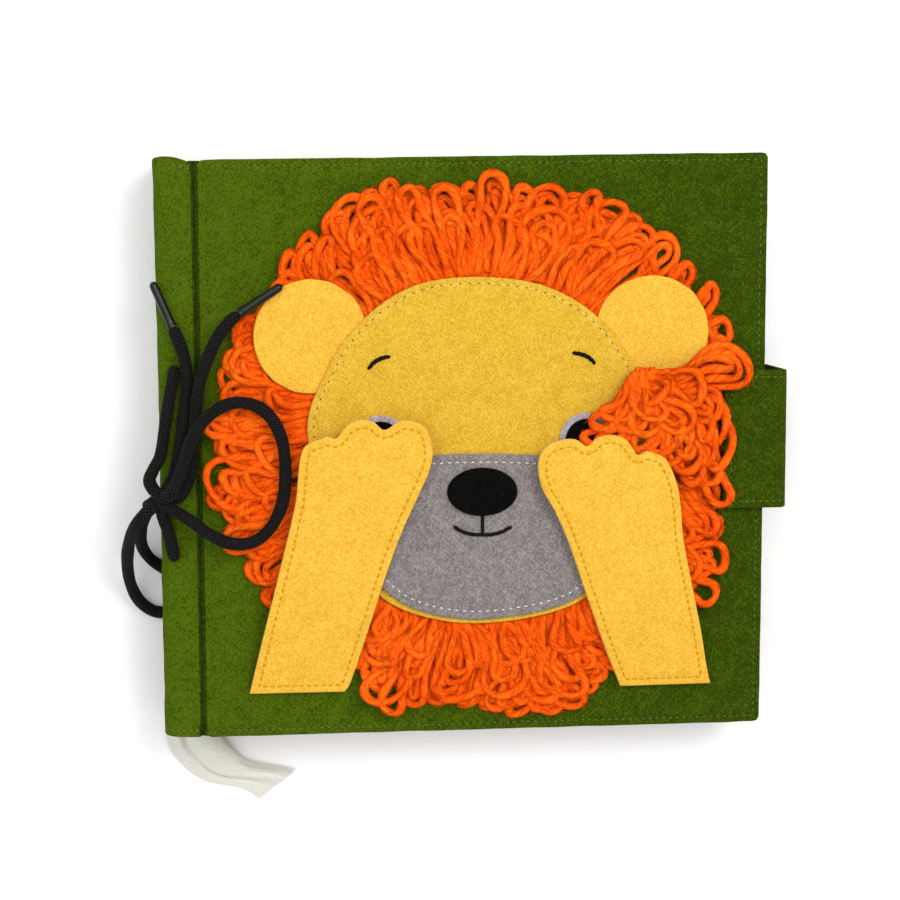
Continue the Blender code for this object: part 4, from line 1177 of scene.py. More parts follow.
@dataclass
class Lace:
    """One knitted lace, 5 mm thick: a run through both holes, two loops, two tails and their tips."""

    radius: float = 2.5
    tip_radius: float = 1.75
    tip_sides: int = 14
    braid_sides: int = 16
    turn_radius: float = 2.4
    near_knot: float = 12.0
    knot: Point = (-129.3, -18.4, 39.1)
    run: Route = field(default_factory=lambda: [
        (-133.2, -11.0, 38.4), (-131.6, -6.4, 37.7), (-128.8, -1.0, ON_STRIP),
        (-127.0, 9.1, ON_STRIP), (-125.2, 20.0, ON_STRIP), (-123.6, 28.0, ON_STRIP),
        (-123.2, 31.2, 36), (-123.2, 31.8, 33), (-123.2, 31.8, 24), (-123.2, 31.8, 14),
        (-123.2, 31.6, 6.4), (-123.2, 30.2, 3.4), (-123.2, 26.6, BACK_RUN),
        (-123.3, 10.0, BACK_RUN), (-123.8, -12.0, BACK_RUN), (-124.3, -36.0, BACK_RUN),
        (-124.4, -39.8, 3.4), (-124.4, -41.2, 6.4), (-124.4, -41.3, 14), (-124.4, -41.3, 24),
        (-124.4, -41.3, 33.0), (-124.5, -40.7, 36.0), (-125.0, -37.6, ON_STRIP),
        (-126.4, -31.0, ON_STRIP), (-128.2, -25.3, 38.3)])
    tail_left: Route = field(default_factory=lambda: [
        (-125.7, -12.8, 38.4), (-123.2, -7.0, ON_STRIP), (-121.6, 1.0, ON_STRIP),
        (-119.6, 13.0, ON_STRIP), (-117.9, 26.7, ON_STRIP), (-118.6, 36.0, ON_STRIP),
        (-120.6, 43.0, ON_STRIP), (-123.1, 49.0, ON_STRIP)])
    tip_left: Route = field(default_factory=lambda: [(-123.3, 49.4, ON_STRIP), (-130.7, 66.9, ON_STRIP)])
    tail_right: Route = field(default_factory=lambda: [
        (-121.6, -16.9, 38.3), (-118.2, -11.6, ON_STRIP), (-116.4, -2.0, ON_STRIP),
        (-115.4, 8, 38.8), (-114.6, 16, 40.6), (-113.6, 24.3, 41.2), (-111, 33.6, 41.4),
        (-106.7, 43.6, 42), (-101.6, 51, 43.6), (-97.4, 54.4, 44.5)])
    tip_right: Route = field(default_factory=lambda: [(-97.0, 54.7, 44.6), (-80.5, 65.5, 45.4)])
    loop_right: Route = field(default_factory=lambda: [
        (-125, -15.3, 44.8), (-122, -9.8, 43.6), (-119.6, -3.4, 43.3), (-116.6, 5.7, 44.5),
        (-110.9, 14.0, ON_MANE), (-102.6, 19.4, ON_MANE), (-94.6, 19.8, ON_MANE),
        (-87.0, 15.8, ON_MANE), (-81.8, 6.7, ON_MANE), (-80.2, -4.7, ON_MANE),
        (-81.2, -18.0, ON_MANE), (-85.8, -28.6, ON_MANE), (-93.0, -34.6, ON_MANE),
        (-101.6, -35.2, ON_MANE), (-109.9, -31.6, 44.2), (-116.0, -27.2, 42.6),
        (-121.4, -23.7, 41.4), (-124, -22.2, 40.8)])
    loop_left: Route = field(default_factory=lambda: [
        (-134.8, -23.1, 42.2), (-138.9, -28.2, 39.2), (-142, -36, 30),
        (-143.6, -46, 19.5), (-143, -56.3, 10.5), (-139.8, -64.6, 4.8),
        (-134, -69.4, 2.7), (-127, -69.6, 2.6), (-122.2, -66, 2.6), (-121.2, -60.5, 2.6),
        (-123.6, -55.6, 2.6), (-129, -52, 2.6), (-134.4, -48, 3.8), (-137.6, -42.4, 9.5),
        (-138.2, -36, 18.5), (-136.8, -29, 28), (-133.8, -22.4, 35)])

    def braid(self, name: str, route: Route, body: str) -> tuple[Piece, np.ndarray]:
        """One length of lace, with the knitted ribs in its surface.

        Args:
            name: The CAD node that it stands for.
            route: The points that its middle runs through.
            body: The body that it moves with.

        Returns:
            The piece and its centre line.
        """
        knot = np.array(self.knot)
        route = np.array(route, float)
        first, last = ([end + 0.7 * (knot - end)] if np.linalg.norm(end - knot) < self.near_knot else []
                       for end in (route[0], route[-1]))
        line = smooth_line([*first, *route, *last], 0.7)
        v, relief = ribs(line, self.braid_sides)
        soft = 0.03 * np.sin(v / 5.1 + 1.0) + 0.02 * np.sin(v / 2.3)
        ends = np.minimum(v, v[-1] - v)
        closing = 1 - 0.35 * np.exp(-((ends / 0.9) ** 2))
        into = Mesher()
        into.tube(line, self.radius * (0.985 + 0.01 * relief + soft) * closing, self.braid_sides)
        made = into.build(name + "_braid", [BRAID])
        settle(made, body, "lace_cord", name)
        return made, line

    def tip(self, name: str, ends: Route, body: str) -> Piece:
        """A lace tip: film shrunk on the braid, with a flared start and a crimped, rounded end.

        Args:
            name: The CAD node that it stands for.
            ends: Where it starts and ends.
            body: The body that it moves with.

        Returns:
            The piece.
        """
        line = evenly(np.array(ends, float), 0.5)
        v = lengths(line)
        share = v / v[-1]
        radius = self.tip_radius * (1 + 0.22 * np.exp(-((v / 1.2) ** 2)) - 0.08 * share)
        radius *= np.sqrt(np.clip((v[-1] - v) / 1.4 + 0.12, 0, 1))
        seam = 1 + 0.05 * np.cos(np.arange(self.tip_sides) / self.tip_sides * 2 * np.pi) ** 8
        into = Mesher()
        into.tube(line, radius[:, None] * seam[None], self.tip_sides)
        made = into.build(name + "_film", [TIP_FILM])
        return settle(made, body, "aglet_film", name)

    def knot_piece(self) -> Piece:
        """The bow's knot: one turn of lace over the top and two folds below it.

        Returns:
            The piece.
        """
        into = Mesher()
        for centre, across, up, radius, start, end in (
            ((0.3, 0.2, -0.4), (0.55, -0.83, 0), 3, 3.3, -0.35, 3.5),
            ((-2.6, -0.6, -1.6), (0.8, 0.6, 0), 1.6, 2.6, -0.2, 3.3),
            ((2.8, 0.8, -1.7), (0.9, 0.45, 0), 1.6, 2.4, -0.2, 3.3),
        ):
            turn = np.linspace(start, end, 26)[:, None]
            over = np.array(across) * radius * np.cos(turn) + np.array((0, 0, 1.0)) * up * np.sin(turn)
            line = evenly(np.array(self.knot) + np.array(centre) + over, 0.6)
            into.tube(line, self.turn_radius * (0.985 + 0.012 * ribs(line, self.tip_sides)[1]), self.tip_sides)
        made = into.build("lace_knot_turns", [BRAID])
        return settle(made, "book", "lace_cord", "lace_knot")

    def build(self) -> None:
        knot = self.knot_piece()
        tips = {
            "lace_tail_left": self.tip("aglet_left", self.tip_left, "book"),
            "lace_tail_right": self.tip("aglet_right", self.tip_right, "bow_right"),
        }
        for name, route, body, far_end in (
            ("lace_run", self.run, "book", "object"),
            ("lace_tail_left", self.tail_left, "book", "fitting"),
            ("lace_tail_right", self.tail_right, "bow_right", "fitting"),
            ("lace_loop_left", self.loop_left, "book", "object"),
            ("lace_loop_right", self.loop_right, "bow_right", "object"),
        ):
            made, line = self.braid(name, route, body)


# The covers, the spine and the leaves


@dataclass
class Covers:
    """Front and back covers: board between two felts, drawn together where the edge is sewn."""

    corners: list[Spot] = field(default_factory=lambda: [
        (-113, -115.3), (113.3, -115.5), (114, 116.8), (-113, 114)])
    sewn: float = 2.7
    back_half: Spot = (113, 114)
    strap_y: Spot = STRAP_Y
    strap_x: float = 98

    def outline(self, front: bool) -> np.ndarray:
        """A cover's outline, with the slight waver of a hand-cut edge.

        Args:
            front: True for the front cover.

        Returns:
            The outline's points.
        """
        x, y = self.back_half
        ring = rounded(self.corners, 2.4) if front else box_outline(-x, x, -y, y)
        return ring - 0.18 * ripple(ring, 40, 2.0 if front else 5.0)[:, None] * np.sign(ring) * 0.8

    def beside_strap(self, spots: np.ndarray) -> np.ndarray:
        """Keeps the back cover's edges apart where the strap is sewn between them.

        Args:
            spots: The points.

        Returns:
            How much of the edge's draw is left at each point, from 0 to 1.
        """
        y0, y1 = self.strap_y
        out = np.maximum(np.maximum(y0 - spots[:, 1], spots[:, 1] - y1), self.strap_x - spots[:, 0])
        return eased(out / 5)

    def build(self) -> None:
        """Makes the four felts and their edge stitches."""
        for name, low, draw, front in (
            ("front_cover_felt", COVER_TOP - FELT, 1.0, True),
            ("front_cover_lining", COVER_LOW, -1.0, True),
            ("back_cover_felt", 0.0, -1.0, False),
            ("back_cover_lining", BACK_TOP - FELT, 1.0, False),
        ):
            ease = None if front else self.beside_strap
            cut = FeltCut(self.outline(front), low, low + FELT, self.sewn if draw > 0 else 0.0, 0.35,
                          draw, 5.5, ease=ease, relief=0.1 if low else 0.02, seed=low)
            rows = []
            if draw > 0:
                seam = cut.seam(self.sewn)[:-1]
                keep = seam[:, 0] > CREASE_X + 5
                first = int(np.argmax(keep & ~np.roll(keep, 1)))
                rows.append(StitchRow(np.roll(seam, -first, 0)[: keep.sum()], 2.8, 0.6, 0.36, 0.1))
            made = sewn_piece(name + "_cut", cut, SEWN_GREEN, *rows, holes=True)
            settle(made, "front_cover" if front else "book", "cover_felt", name)
        for node in ("front_cover_board", "back_cover_board"):
            bpy.data.objects[node].material_slots[0].material = BOARD.material()


@dataclass
class Spine:
    """The felt strip that wraps the spine, the leaves' sewn margins in it, and the two creases."""

    half: float = 114.2
    round_outer: float = 5.0
    holes: tuple[Spot, ...] = ((-123.2, 31.8), (-124.4, -41.3))
    flat_top: float = 0.32

    def section(self) -> np.ndarray:
        """Lays the strip out in section, from the front crease round to the back.

        Returns:
            The (x, z) points of its middle line.
        """
        r, mid = self.round_outer, self.round_outer - FELT / 2
        x = SPINE_LEFT + r
        turn = np.linspace(0, np.pi / 2, 7)
        front = [(x - mid * math.sin(a), SPINE_TOP - r + mid * math.cos(a)) for a in turn]
        back = [(x - mid * math.cos(a), SPINE_LOW + r - mid * math.sin(a)) for a in turn]
        line = [(-115.3, SPINE_TOP - FELT / 2), *front, *back, (-112.0, SPINE_LOW + FELT / 2)]
        return evenly(np.array(line), 1.1)

    def wrap(self) -> None:
        """The strip, with its soft head and foot and a dent round each lace hole."""
        line = self.section()
        share = lengths(line) / lengths(line)[-1]
        rows = np.concatenate([[0, 0.4, 1.0, 1.8], np.linspace(2.8, 2 * self.half - 2.8, 92),
                               2 * self.half - np.array([1.8, 1.0, 0.4, 0])]) - self.half
        on_top = share < self.flat_top
        across = np.where(on_top, share / self.flat_top, 1.0)
        end = 1.3 * np.sin(np.pi * np.clip(across * 1.05, 0, 1)) - 1.5 * (1 - across) ** 3
        end = np.where(on_top, end, -0.2)
        foot = np.where(on_top, 1.1 - 0.9 * across, -0.2)
        grid = swept(line, rows)
        grid[..., 1] *= 1 + np.where(rows > 0, end[:, None], foot[:, None]) / self.half
        left = np.clip((-118 - grid[..., 0]) / 11, 0, 1)
        grid[..., 0] -= left * 0.5 * eased((grid[..., 1] - 30) / 80)
        soft = ripple(grid[..., 1:3] + grid[..., :1], 31, 1.0)
        grid[..., 0] += 0.25 * soft * left
        top = eased((grid[..., 2] - 28) / 5)
        crown = 0.45 * np.sin(np.pi * np.clip(across, 0, 1))[:, None]
        grid[..., 2] += top * (crown - 0.15 + 0.2 * ripple(grid[..., :2], 26, 4.0))
        droop = eased((np.abs(grid[..., 1]) - self.half + 7) / 8)
        grid[..., 2] -= top * droop * 0.8
        for hx, hy in self.holes:
            away = (grid[..., 0] - hx) ** 2 + (grid[..., 1] - hy) ** 2
            grid[..., 2] -= top * 1.6 * np.exp(-away / 14)
        into = Mesher()
        into.sheet(grid[::-1], FELT, 0, 1)
        for j in (4, len(rows) - 5):
            edge = grid[: int(0.3 * len(line)), j].copy()
            edge[:, 2] += FELT / 2 - 0.05
            StitchRow(edge, pitch=2.7, width=0.42, rise=0.15).mesh(into, 2, 3)
        made = into.build("spine_felt_wrap", SEWN_GREEN)
        settle(made, "book", "cover_felt", "spine_felt")

    def crease(self, name: str, profile: Sequence[Spot], bodies: tuple[str, str] | None,
               finish: Finish, slot: str, thick: float = 1.2, foot: float = 113.6) -> None:
        """A band of felt that bends where a cover or leaf is hinged.

        Args:
            name: The piece's name.
            profile: (x, z) points across the crease.
            bodies: The two bodies that it joins, or None where nothing moves.
            finish: The felt.
            slot: The record's material slot.
            thick: The band's thickness.
            foot: How far it reaches towards the foot.
        """
        line = smooth_line(profile, 0.3)
        into = Mesher()
        into.sheet(swept(line, np.linspace(-foot, 113.6, 76)), thick)
        made = into.build(name, [finish])
        if bodies:
            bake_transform(made)
            claim(made, slot)
        else:
            settle(made, "book", slot)

    def margins(self) -> None:
        """The leaves' margins, sewn together inside the strip."""
        edge = self.round_outer - FELT
        for i in range(LEAF_COUNT):
            low = MARGIN_LOW + MARGIN_PITCH * i
            left = SPINE_LEFT + FELT + (edge if i in (0, LEAF_COUNT - 1) else 0.3)
            into = Mesher()
            for k in range(3):
                z = low + 2.06 * k
                odd = k % 2
                ring = box_outline(left + 0.4 * odd, -115.8, -113 + 0.5 * odd, 113 - 0.6 * odd, 1.0)
                FeltCut(ring, z, z + 1.9, relief=0.05, spacing=9.0, seed=z).mesh(into)
            made = into.build(f"leaf_{i + 1}_margin_layers", [CREAM_FELT, CREAM_FELT])
            settle(made, "book", "margin_felt", f"leaf_{i + 1}_margin")

    def build(self) -> None:
        """Makes the strip, the margins and the creases."""
        self.wrap()
        self.margins()
        # The front crease wears the darker crease felt, a painted shade in the fold.
        self.crease("front_crease_felt", [(-116.0, 32.4), (-115.0, 33.3), (-114.6, 33.0), (-114.1, 31.2),
                                          (-113.6, 33), (-113.2, 33.5), (-112.2, 32.6)],
                    ("book", "front_cover"), CREASE_SHADE_FELT, "cover_felt", foot=114.7)
        self.crease("back_crease_felt", [(-118.5, 4.9), (-116.0, 4.7), (-114.0, 4.4), (-112.4, 3.2)],
                    None, GREEN_FELT, "cover_felt", thick=0.9)


@dataclass
class Leaves:
    """Four padded leaves: two coloured felts sewn round a soft filling."""

    colours: tuple[tuple[Finish, Finish, str, str], ...] = (
        (CREAM_FELT, SKY_FELT, "leaf_cream", "leaf_sky"),
        (YELLOW_FELT, LEAF_GREY_FELT, "leaf_yellow", "leaf_grey"),
        (ORANGE_FELT, CREAM_FELT, "leaf_orange", "leaf_cream"),
        (GREEN_FELT, SKY_FELT, "leaf_green", "leaf_sky"),
    )

    sewn: float = 2.6
    draw: float = 1.15
    felt_fill: float = 0.35
    wadding_fill: float = 0.4

    def build(self) -> None:
        """Makes each leaf's two felts, its filling and its crease."""
        for i, (under, over, under_slot, over_slot) in enumerate(self.colours):
            low = BACK_TOP + 0.6 + i * LEAF_PITCH
            top, middle = low + LEAF_THICK, low + LEAF_THICK / 2
            body = f"leaf_{i + 1}"
            ring = box_outline(-111.1, 112.5, -113.5, 113.5, 2.4)
            ring = ring - 0.25 * ripple(ring, 37, i * 2.3)[:, None] * np.sign(ring)
            for node, z, draw, finish, slot in (
                ("back", low, -self.draw, under, under_slot), ("front", top - FELT, self.draw, over, over_slot)
            ):
                cut = FeltCut(ring, z, z + FELT, self.sewn, 0.3 if draw > 0 else 0.0, draw, 7.0,
                              relief=0.06, spacing=7.0, seed=z)
                rows = [StitchRow(cut.seam(self.sewn), pitch=3.0, width=0.42, rise=0.1)] if draw > 0 else []
                made = sewn_piece(f"{body}_{node}_felt", cut, [finish, finish, CREAM_THREAD], *rows)
                settle(made, body, slot, f"{body}_{node}")
            pad = FeltCut(box_outline(-104.5, 106, -107, 107, 4.0), middle - 0.9, middle + 0.9,
                          relief=0.04, spacing=14.0, seed=z)
            made = sewn_piece(f"{body}_wadding", pad, [WADDING, WADDING])
            settle(made, body, "leaf_wadding", f"{body}_core")
            margin = 10.25 + MARGIN_PITCH * i
            Spine().crease(f"{body}_crease_felt", [(-116.6, margin), (-115.4, margin * 0.75 + middle * 0.25),
                           (-113.6, middle), (-111.6, middle), (-110.2, middle)],
                           ("book", body), under, under_slot, thick=1.1, foot=112.6)


# The lion


@dataclass
class Paw:
    """A paw of two felts sewn together, which folds down about its hem."""

    side: str
    sewn: float = 3.0
    fill: float = 0.2
    profile: tuple[Spot, ...] = ((0.0, 0.5), (12.0, 2.6), (30.0, 6.5), (40.0, 8.1), (80.0, 11.4),
                                               (112, 13.6))

    def outline(self) -> np.ndarray:
        """The paw's outline: straight along the hem and smooth over the toes.

        Returns:
            The outline's points.
        """
        corners = PAW_OUTLINES[self.side]
        curve = smooth_line(corners[1:] + corners[:1], 1.1)
        hem = evenly(np.array([curve[-1], curve[0]]), 1.3)[1:-1]
        return np.vstack([curve, hem])

    def underside(self, spots: np.ndarray) -> np.ndarray:
        """The height of the paw's underside over the cover at each point."""
        stations = smooth_line(self.profile, 1.0)
        return np.interp(spots[:, 1] - PAW_HEM_Y[self.side], stations[:, 0], stations[:, 1])

    def build(self) -> None:
        """Makes the backing and the sewn upper felt."""
        body = f"paw_{self.side}"
        ring = self.outline()
        for node, lift, sewn, draw in (("backing", 0.0, 0.0, -0.1), ("felt", FELT + 0.3, self.sewn, 0.2)):
            cut = FeltCut(ring, COVER_TOP + lift, COVER_TOP + lift + FELT, sewn, 0.3, draw, 4.0,
                          lift=self.underside, relief=0.06, spacing=3.6, seed=lift + 1.0)
            rows = [StitchRow(cut.seam(sewn), 2.9, 0.76, 0.75, 0.3)] if sewn else []
            made = sewn_piece(f"{body}_{node}_cut", cut, [YELLOW_FELT, YELLOW_EDGE, GOLD_THREAD], *rows)
            settle(made, body, "lion_felt", f"{body}_{node}")


@dataclass
class LionFace:
    """Ears, face, muzzle, nose, mouth, eyes and brows, one over the other."""

    nose_centre: Spot = (-2.5, -16.7)
    eye_centres: tuple[tuple[str, float, float], ...] = (("left", -42.5, 3.3), ("right", 39.5, 3.3))
    eye_cut_y: float = -1.2
    mouth: list[Spot] = field(default_factory=lambda: [
        (-13.8, -30.6), (-10.6, -32.5), (-6.7, -33.7), (-2.4, -34), (1.7, -33.9), (5.8, -32.8), (9, -31)])
    mouth_stem: tuple[Spot, ...] = ((-2.4, -25.6), (-2.35, -30.0), (-2.4, -34.0))
    brows: dict[str, list[Spot]] = field(default_factory=lambda: {
        "left": [(-47.1, 32.4), (-45.4, 34.5), (-43.3, 35.9), (-41.2, 36.8), (-38.7, 37.2)],
        "right": [(34.1, 37.8), (36.9, 37.4), (39.7, 36.4), (41.5, 35.1), (42.9, 33.6)]})

    def ear_underside(self, side: str) -> Callable[[np.ndarray], np.ndarray]:
        """How high an ear's underside lies: flat under the face and rising outwards.

        Args:
            side: left or right.

        Returns:
            The function that gives the height over the cover at each point.
        """
        centre = np.array(EAR_CENTRES[side])
        way = centre - np.array((-5.0, 2.0 + EAR_RADIUS / 2))
        way /= np.linalg.norm(way)

        def height(spots: np.ndarray) -> np.ndarray:
            """The height at each point."""
            along = (spots - centre) @ way
            return 2.6 + 4.4 * np.clip((along + 9.0) / (EAR_RADIUS + 9.0), 0, 1.2) ** 1.15

        return height

    def ears(self) -> None:
        """Two round ears, cut from one layer of felt."""
        for side, centre in EAR_CENTRES.items():
            ring = circle(centre, EAR_RADIUS, EAR_RADIUS)
            ring = ring + 0.25 * ripple(ring, 19, 3.0)[:, None]
            cut = FeltCut(ring, COVER_TOP, COVER_TOP + FELT, lift=self.ear_underside(side),
                          relief=0.12, spacing=3.6, seed=centre[0])
            made = sewn_piece(f"ear_{side}_cut", cut, [YELLOW_FELT, YELLOW_EDGE])
            settle(made, "front_cover", "lion_felt", f"ear_{side}")

    def plate(self, node: str, ring: np.ndarray, low: float, high: float, slot: str, finishes: Sequence[Finish],
              sewn: float = 0.0, holes: bool = False, relief: float = 0.08) -> FeltCut:
        """One flat felt of the face.

        Args:
            node: The CAD node that it stands for.
            ring: Its outline.
            low: The height of its underside over the cover.
            high: The height of its top over the cover.
            slot: The record's material slot.
            finishes: Face, cut edge and thread.
            sewn: The stitch line's distance from the edge, or 0.
            holes: True to show the needle's holes.
            relief: How uneven it lies.

        Returns:
            The cut, for what is sewn on it.
        """
        cut = FeltCut(ring, COVER_TOP + low, COVER_TOP + high, sewn, 0.3, relief=relief, spacing=4.0, seed=low)
        sizes = (3.8, 0.6, 0.32, 0.1, 0.65) if holes else (3.1, 0.5, 0.46, 0.16)
        rows = [StitchRow(cut.seam(sewn), *sizes)] if sewn else []
        made = sewn_piece(node + "_cut", cut, [*finishes, PAINTED_HOLE_SHADOW], *rows, holes=holes)
        settle(made, "front_cover", slot, node)
        return cut

    def eye_ring(self, centre: Spot, radius: float) -> np.ndarray:
        """A disc's outline, cut off straight along the muzzle's top.

        Args:
            centre: The disc's centre.
            radius: Its radius.

        Returns:
            The outline's points.
        """
        ring = circle(centre, radius, radius, 0.7)
        kept = ring[ring[:, 1] > self.eye_cut_y]
        start = int(np.argmax(np.linalg.norm(np.diff(kept, axis=0, append=kept[:1]), axis=1)))
        kept = np.roll(kept, -start - 1, axis=0)
        drop = math.sqrt(radius**2 - (centre[1] - self.eye_cut_y) ** 2)
        ends = [(centre[0] - drop, self.eye_cut_y), (centre[0] + drop, self.eye_cut_y)]
        return evenly(np.vstack([kept, ends, kept[:1]]), 0.8)[:-1]

    def embroidered(self, into: Mesher, line: np.ndarray, width: np.ndarray | float,
                    pitch: float = 2.6) -> None:
        """Stem stitch: short slanted stitches that overlap like a fine rope.

        Args:
            into: The mesh being gathered.
            line: The line on the felt's top, three numbers a point.
            width: The line's width, for all or at each stitch.
            pitch: The distance from one stitch to the next.
        """
        whole = lengths(line)[-1]
        count = max(2, round(whole / pitch))
        start = np.arange(count)[:, None] * whole / count
        t = np.linspace(0, 1, 6)[None]
        want = np.clip(start + t * whole / count * 1.45 - 0.2 * pitch, 0, whole)
        paths = places_on(line, want)
        ahead = unit(np.gradient(paths, axis=1))
        width = np.broadcast_to(np.asarray(width, float), (count,))[:, None]
        slant = (t - 0.5)[..., None] * np.cross(ahead, (0, 0, 1.0)) * (0.35 * width)[..., None]
        paths = paths + slant
        paths[..., 2] += 0.3 * np.sin(np.pi * t) - 0.05
        into.strands(paths, width / 2 * (0.7 + 0.3 * np.sin(np.pi * t)), 8, 0, 0.7)

    def build(self) -> None:
        """Makes the face from the ears up."""
        self.ears()
        face = smooth_line(FACE_OUTLINE, 1.3, closed=True)
        on_face = self.plate("face_felt", face, 4.4, 5.9, "lion_felt",
                             (FACE_FELT, YELLOW_EDGE, CREAM_THREAD), 2.5, holes=True)
        muzzle = smooth_line(MUZZLE_OUTLINE, 1.3, closed=True)
        on_muzzle = self.plate("muzzle_felt", muzzle, 6.2, 7.7, "muzzle_grey_felt",
                               (GREY_FELT, GREY_EDGE, WHITE_THREAD), 3.3)
        self.plate("nose_felt", circle(self.nose_centre, 14.0, 9.6), 8.0, 9.2, "black_felt",
                   (BLACK_FELT, BLACK_FELT, BLACK_THREAD), relief=0.05)
        into = Mesher()
        for line, rise, width in ((smooth_line(self.mouth, 0.8), 0.25, 1.45),
                                  (evenly(np.array(self.mouth_stem), 0.8), 0.3, 1.3)):
            self.embroidered(into, np.column_stack([line, on_muzzle.top(line) + rise]), width)
        settle(into.build("mouth_embroidery", [BLACK_THREAD]), "front_cover", "black_thread", "mouth_stitch")
        for side, x, y in self.eye_centres:
            self.plate(f"eye_ring_{side}", self.eye_ring((x, y), 10.8), 6.2, 7.0, "eye_pale_felt",
                       (EYE_FELT, EYE_FELT, WHITE_THREAD), relief=0.03)
            self.plate(f"pupil_{side}", self.eye_ring((x, y), 8.4), 7.3, 8.1, "black_felt",
                       (BLACK_FELT, BLACK_FELT, BLACK_THREAD), relief=0.03)
            into = Mesher()
            brow = smooth_line(self.brows[side], 0.6)
            brow = np.column_stack([brow, on_face.top(brow) + 0.25])
            count = max(2, round(lengths(brow)[-1] / 2.2))
            taper = 1.35 + 0.35 * np.sin(np.pi * (np.arange(count) + 0.5) / count)
            self.embroidered(into, brow, taper, 2.2)
            made = into.build(f"brow_{side}_embroidery", [BLACK_THREAD])
            settle(made, "front_cover", "black_thread", f"brow_{side}")


@dataclass
class Mane:
    """Loops of wool roving round the face, laid in four layers, with a lock over one eye.

    A layer is its count of loops, its reach as a share of the mane, and their width. The leans are
    angles in degrees and how far the loops there lean over. A feature is a root, a tip, a width, the
    heights at both and a bend.
    """

    centre: Spot = (-5.0, 2.0)
    strand: float = 1.65
    parts: dict[str, Spot] = field(default_factory=lambda: {
        "right": (-54.0, 54.0), "top": (54.0, 126.0), "left": (126.0, 228.0), "bottom": (228.0, 306.0)})
    layers: tuple[tuple[int, float, float], ...] = ((96, 0.93, 8.0), (78, 1.0, 11.0),
                                                    (60, 0.84, 11), (42, 0.62, 10))
    crown: float = 6.0
    under_face: float = 7.0
    fibres: int = 5600
    lock_fibres: int = 2400
    squashed: float = 0.4
    fuzz_top: float = 15.5
    strap_span: Spot = (-30, 34)
    strap_x: float = 93.0
    leans: tuple[tuple[float, ...], ...] = (
        (-54, -30, -8, 14, 40, 62, 84, 104, 128, 150, 180, 215, 250, 270, 306),
        (0, -0.3, -0.34, -0.2, -0.3, -0.22, 0, 0.06, -0.16, -0.24, 0.05, 0.12, 0.1, 0, 0))
    features: dict[str, list[Feature]] = field(default_factory=lambda: {
        "top": [
            ((22, 66), (25, 94.5), 21, 3, 6, 0.02), ((21.5, 66), (24, 89), 9.5, 3.2, 6.2, 0.03),
            ((40, 73), (41.6, 101), 6.5, 2.6, 5.6, -0.05), ((39, 69), (52.5, 96.5), 11.5, 3, 6, 0.06),
            ((-8, 68), (-17.5, 103), 9.5, 3, 6, 0.05), ((-22, 68), (-31, 103), 8.5, 3, 6, -0.06),
            ((0, 70), (2.5, 108.5), 10.5, 3, 6, 0.05), ((-34, 62), (-47, 99), 9.5, 3, 6, -0.08)],
        "right": [
            ((81, 47), (97.9, 44), 7, 2, 4, 0.05), ((74, -40), (96, -50), 11, 2.4, 5.4, 0.08),
            ((78, -50), (92, -63), 8.5, 2.4, 5, -0.06), ((66, -25), (93, -33), 9, 2.4, 5.4, 0.1)],
        "left": [
            ((-78, -6), (-111, -10.5), 20, 2.4, 5, 0.04),
            ((-78, -6.5), (-104.5, -10.5), 10, 2.6, 5.2, 0.05),
            ((-76, 6), (-111, 11), 8, 2.4, 4.8, -0.05), ((-72, -24), (-104, -36.5), 10, 2.4, 5, 0.05)],
        "bottom": [
            ((-28, -74), (-47.5, -100.5), 13.5, 2.4, 5, 0.10),
            ((-31, -80), (-38.5, -106), 8, 2.4, 5, -0.05),
            ((6, -66), (5, -100), 17, 2.6, 6, 0.03), ((6, -68), (5, -93.5), 8.5, 2.8, 6.2, 0.03),
            ((29, -64), (35, -101), 17, 2.4, 5.6, -0.05), ((30, -66), (34.5, -94), 8, 2.6, 5.8, -0.04),
            ((-8, -66), (-16, -101), 16, 2.4, 5.4, 0.08), ((-9, -68), (-15.5, -94), 8, 2.6, 5.6, 0.07)],
    })

    def __post_init__(self) -> None:
        """Reads the outlines once and seeds the chance in the loops."""
        self.face = smooth_line(FACE_OUTLINE, 2.0, closed=True)
        self.fringe = smooth_line(MANE_OUTLINE, 2.0, closed=True)
        self.paws = {side: Paw(side).outline() for side in PAW_HEM_Y}
        self.chance = np.random.default_rng(11)

    def reach(self, angle: float, ring: np.ndarray) -> float:
        """How far an outline lies from the mane's centre in one direction.

        Args:
            angle: The direction in radians.
            ring: The outline.

        Returns:
            The distance.
        """
        way = np.array((math.cos(angle), math.sin(angle)))
        gap = ring - np.array(self.centre)
        off = np.abs(gap[:, 0] * way[1] - gap[:, 1] * way[0]) + 1e3 * (gap @ way < 0)
        return float(np.linalg.norm(gap[int(np.argmin(off))]))

    def ceiling(self, spots: np.ndarray) -> np.ndarray:
        """The greatest height of a strand's middle over the cover, below what lies on the mane.

        Args:
            spots: The points.

        Returns:
            The height at each point.
        """
        room = np.full(len(spots), self.crown)
        cover = [(self.face, np.full(len(spots), 4.4))]
        for side, centre in EAR_CENTRES.items():
            cover.append((circle(centre, EAR_RADIUS, EAR_RADIUS, 3.0), LionFace().ear_underside(side)(spots)))
        for side, ring in self.paws.items():
            cover.append((ring[::2], Paw(side).underside(spots)))
        for ring, height in cover:
            away = edge_distance(spots, ring)
            away[inside(spots, ring)] = 0.0
            below = np.maximum(height - 0.2 - self.strand, 0.75)
            room = np.minimum(room, below + 0.9 * np.maximum(away - 0.8, 0))
        return room

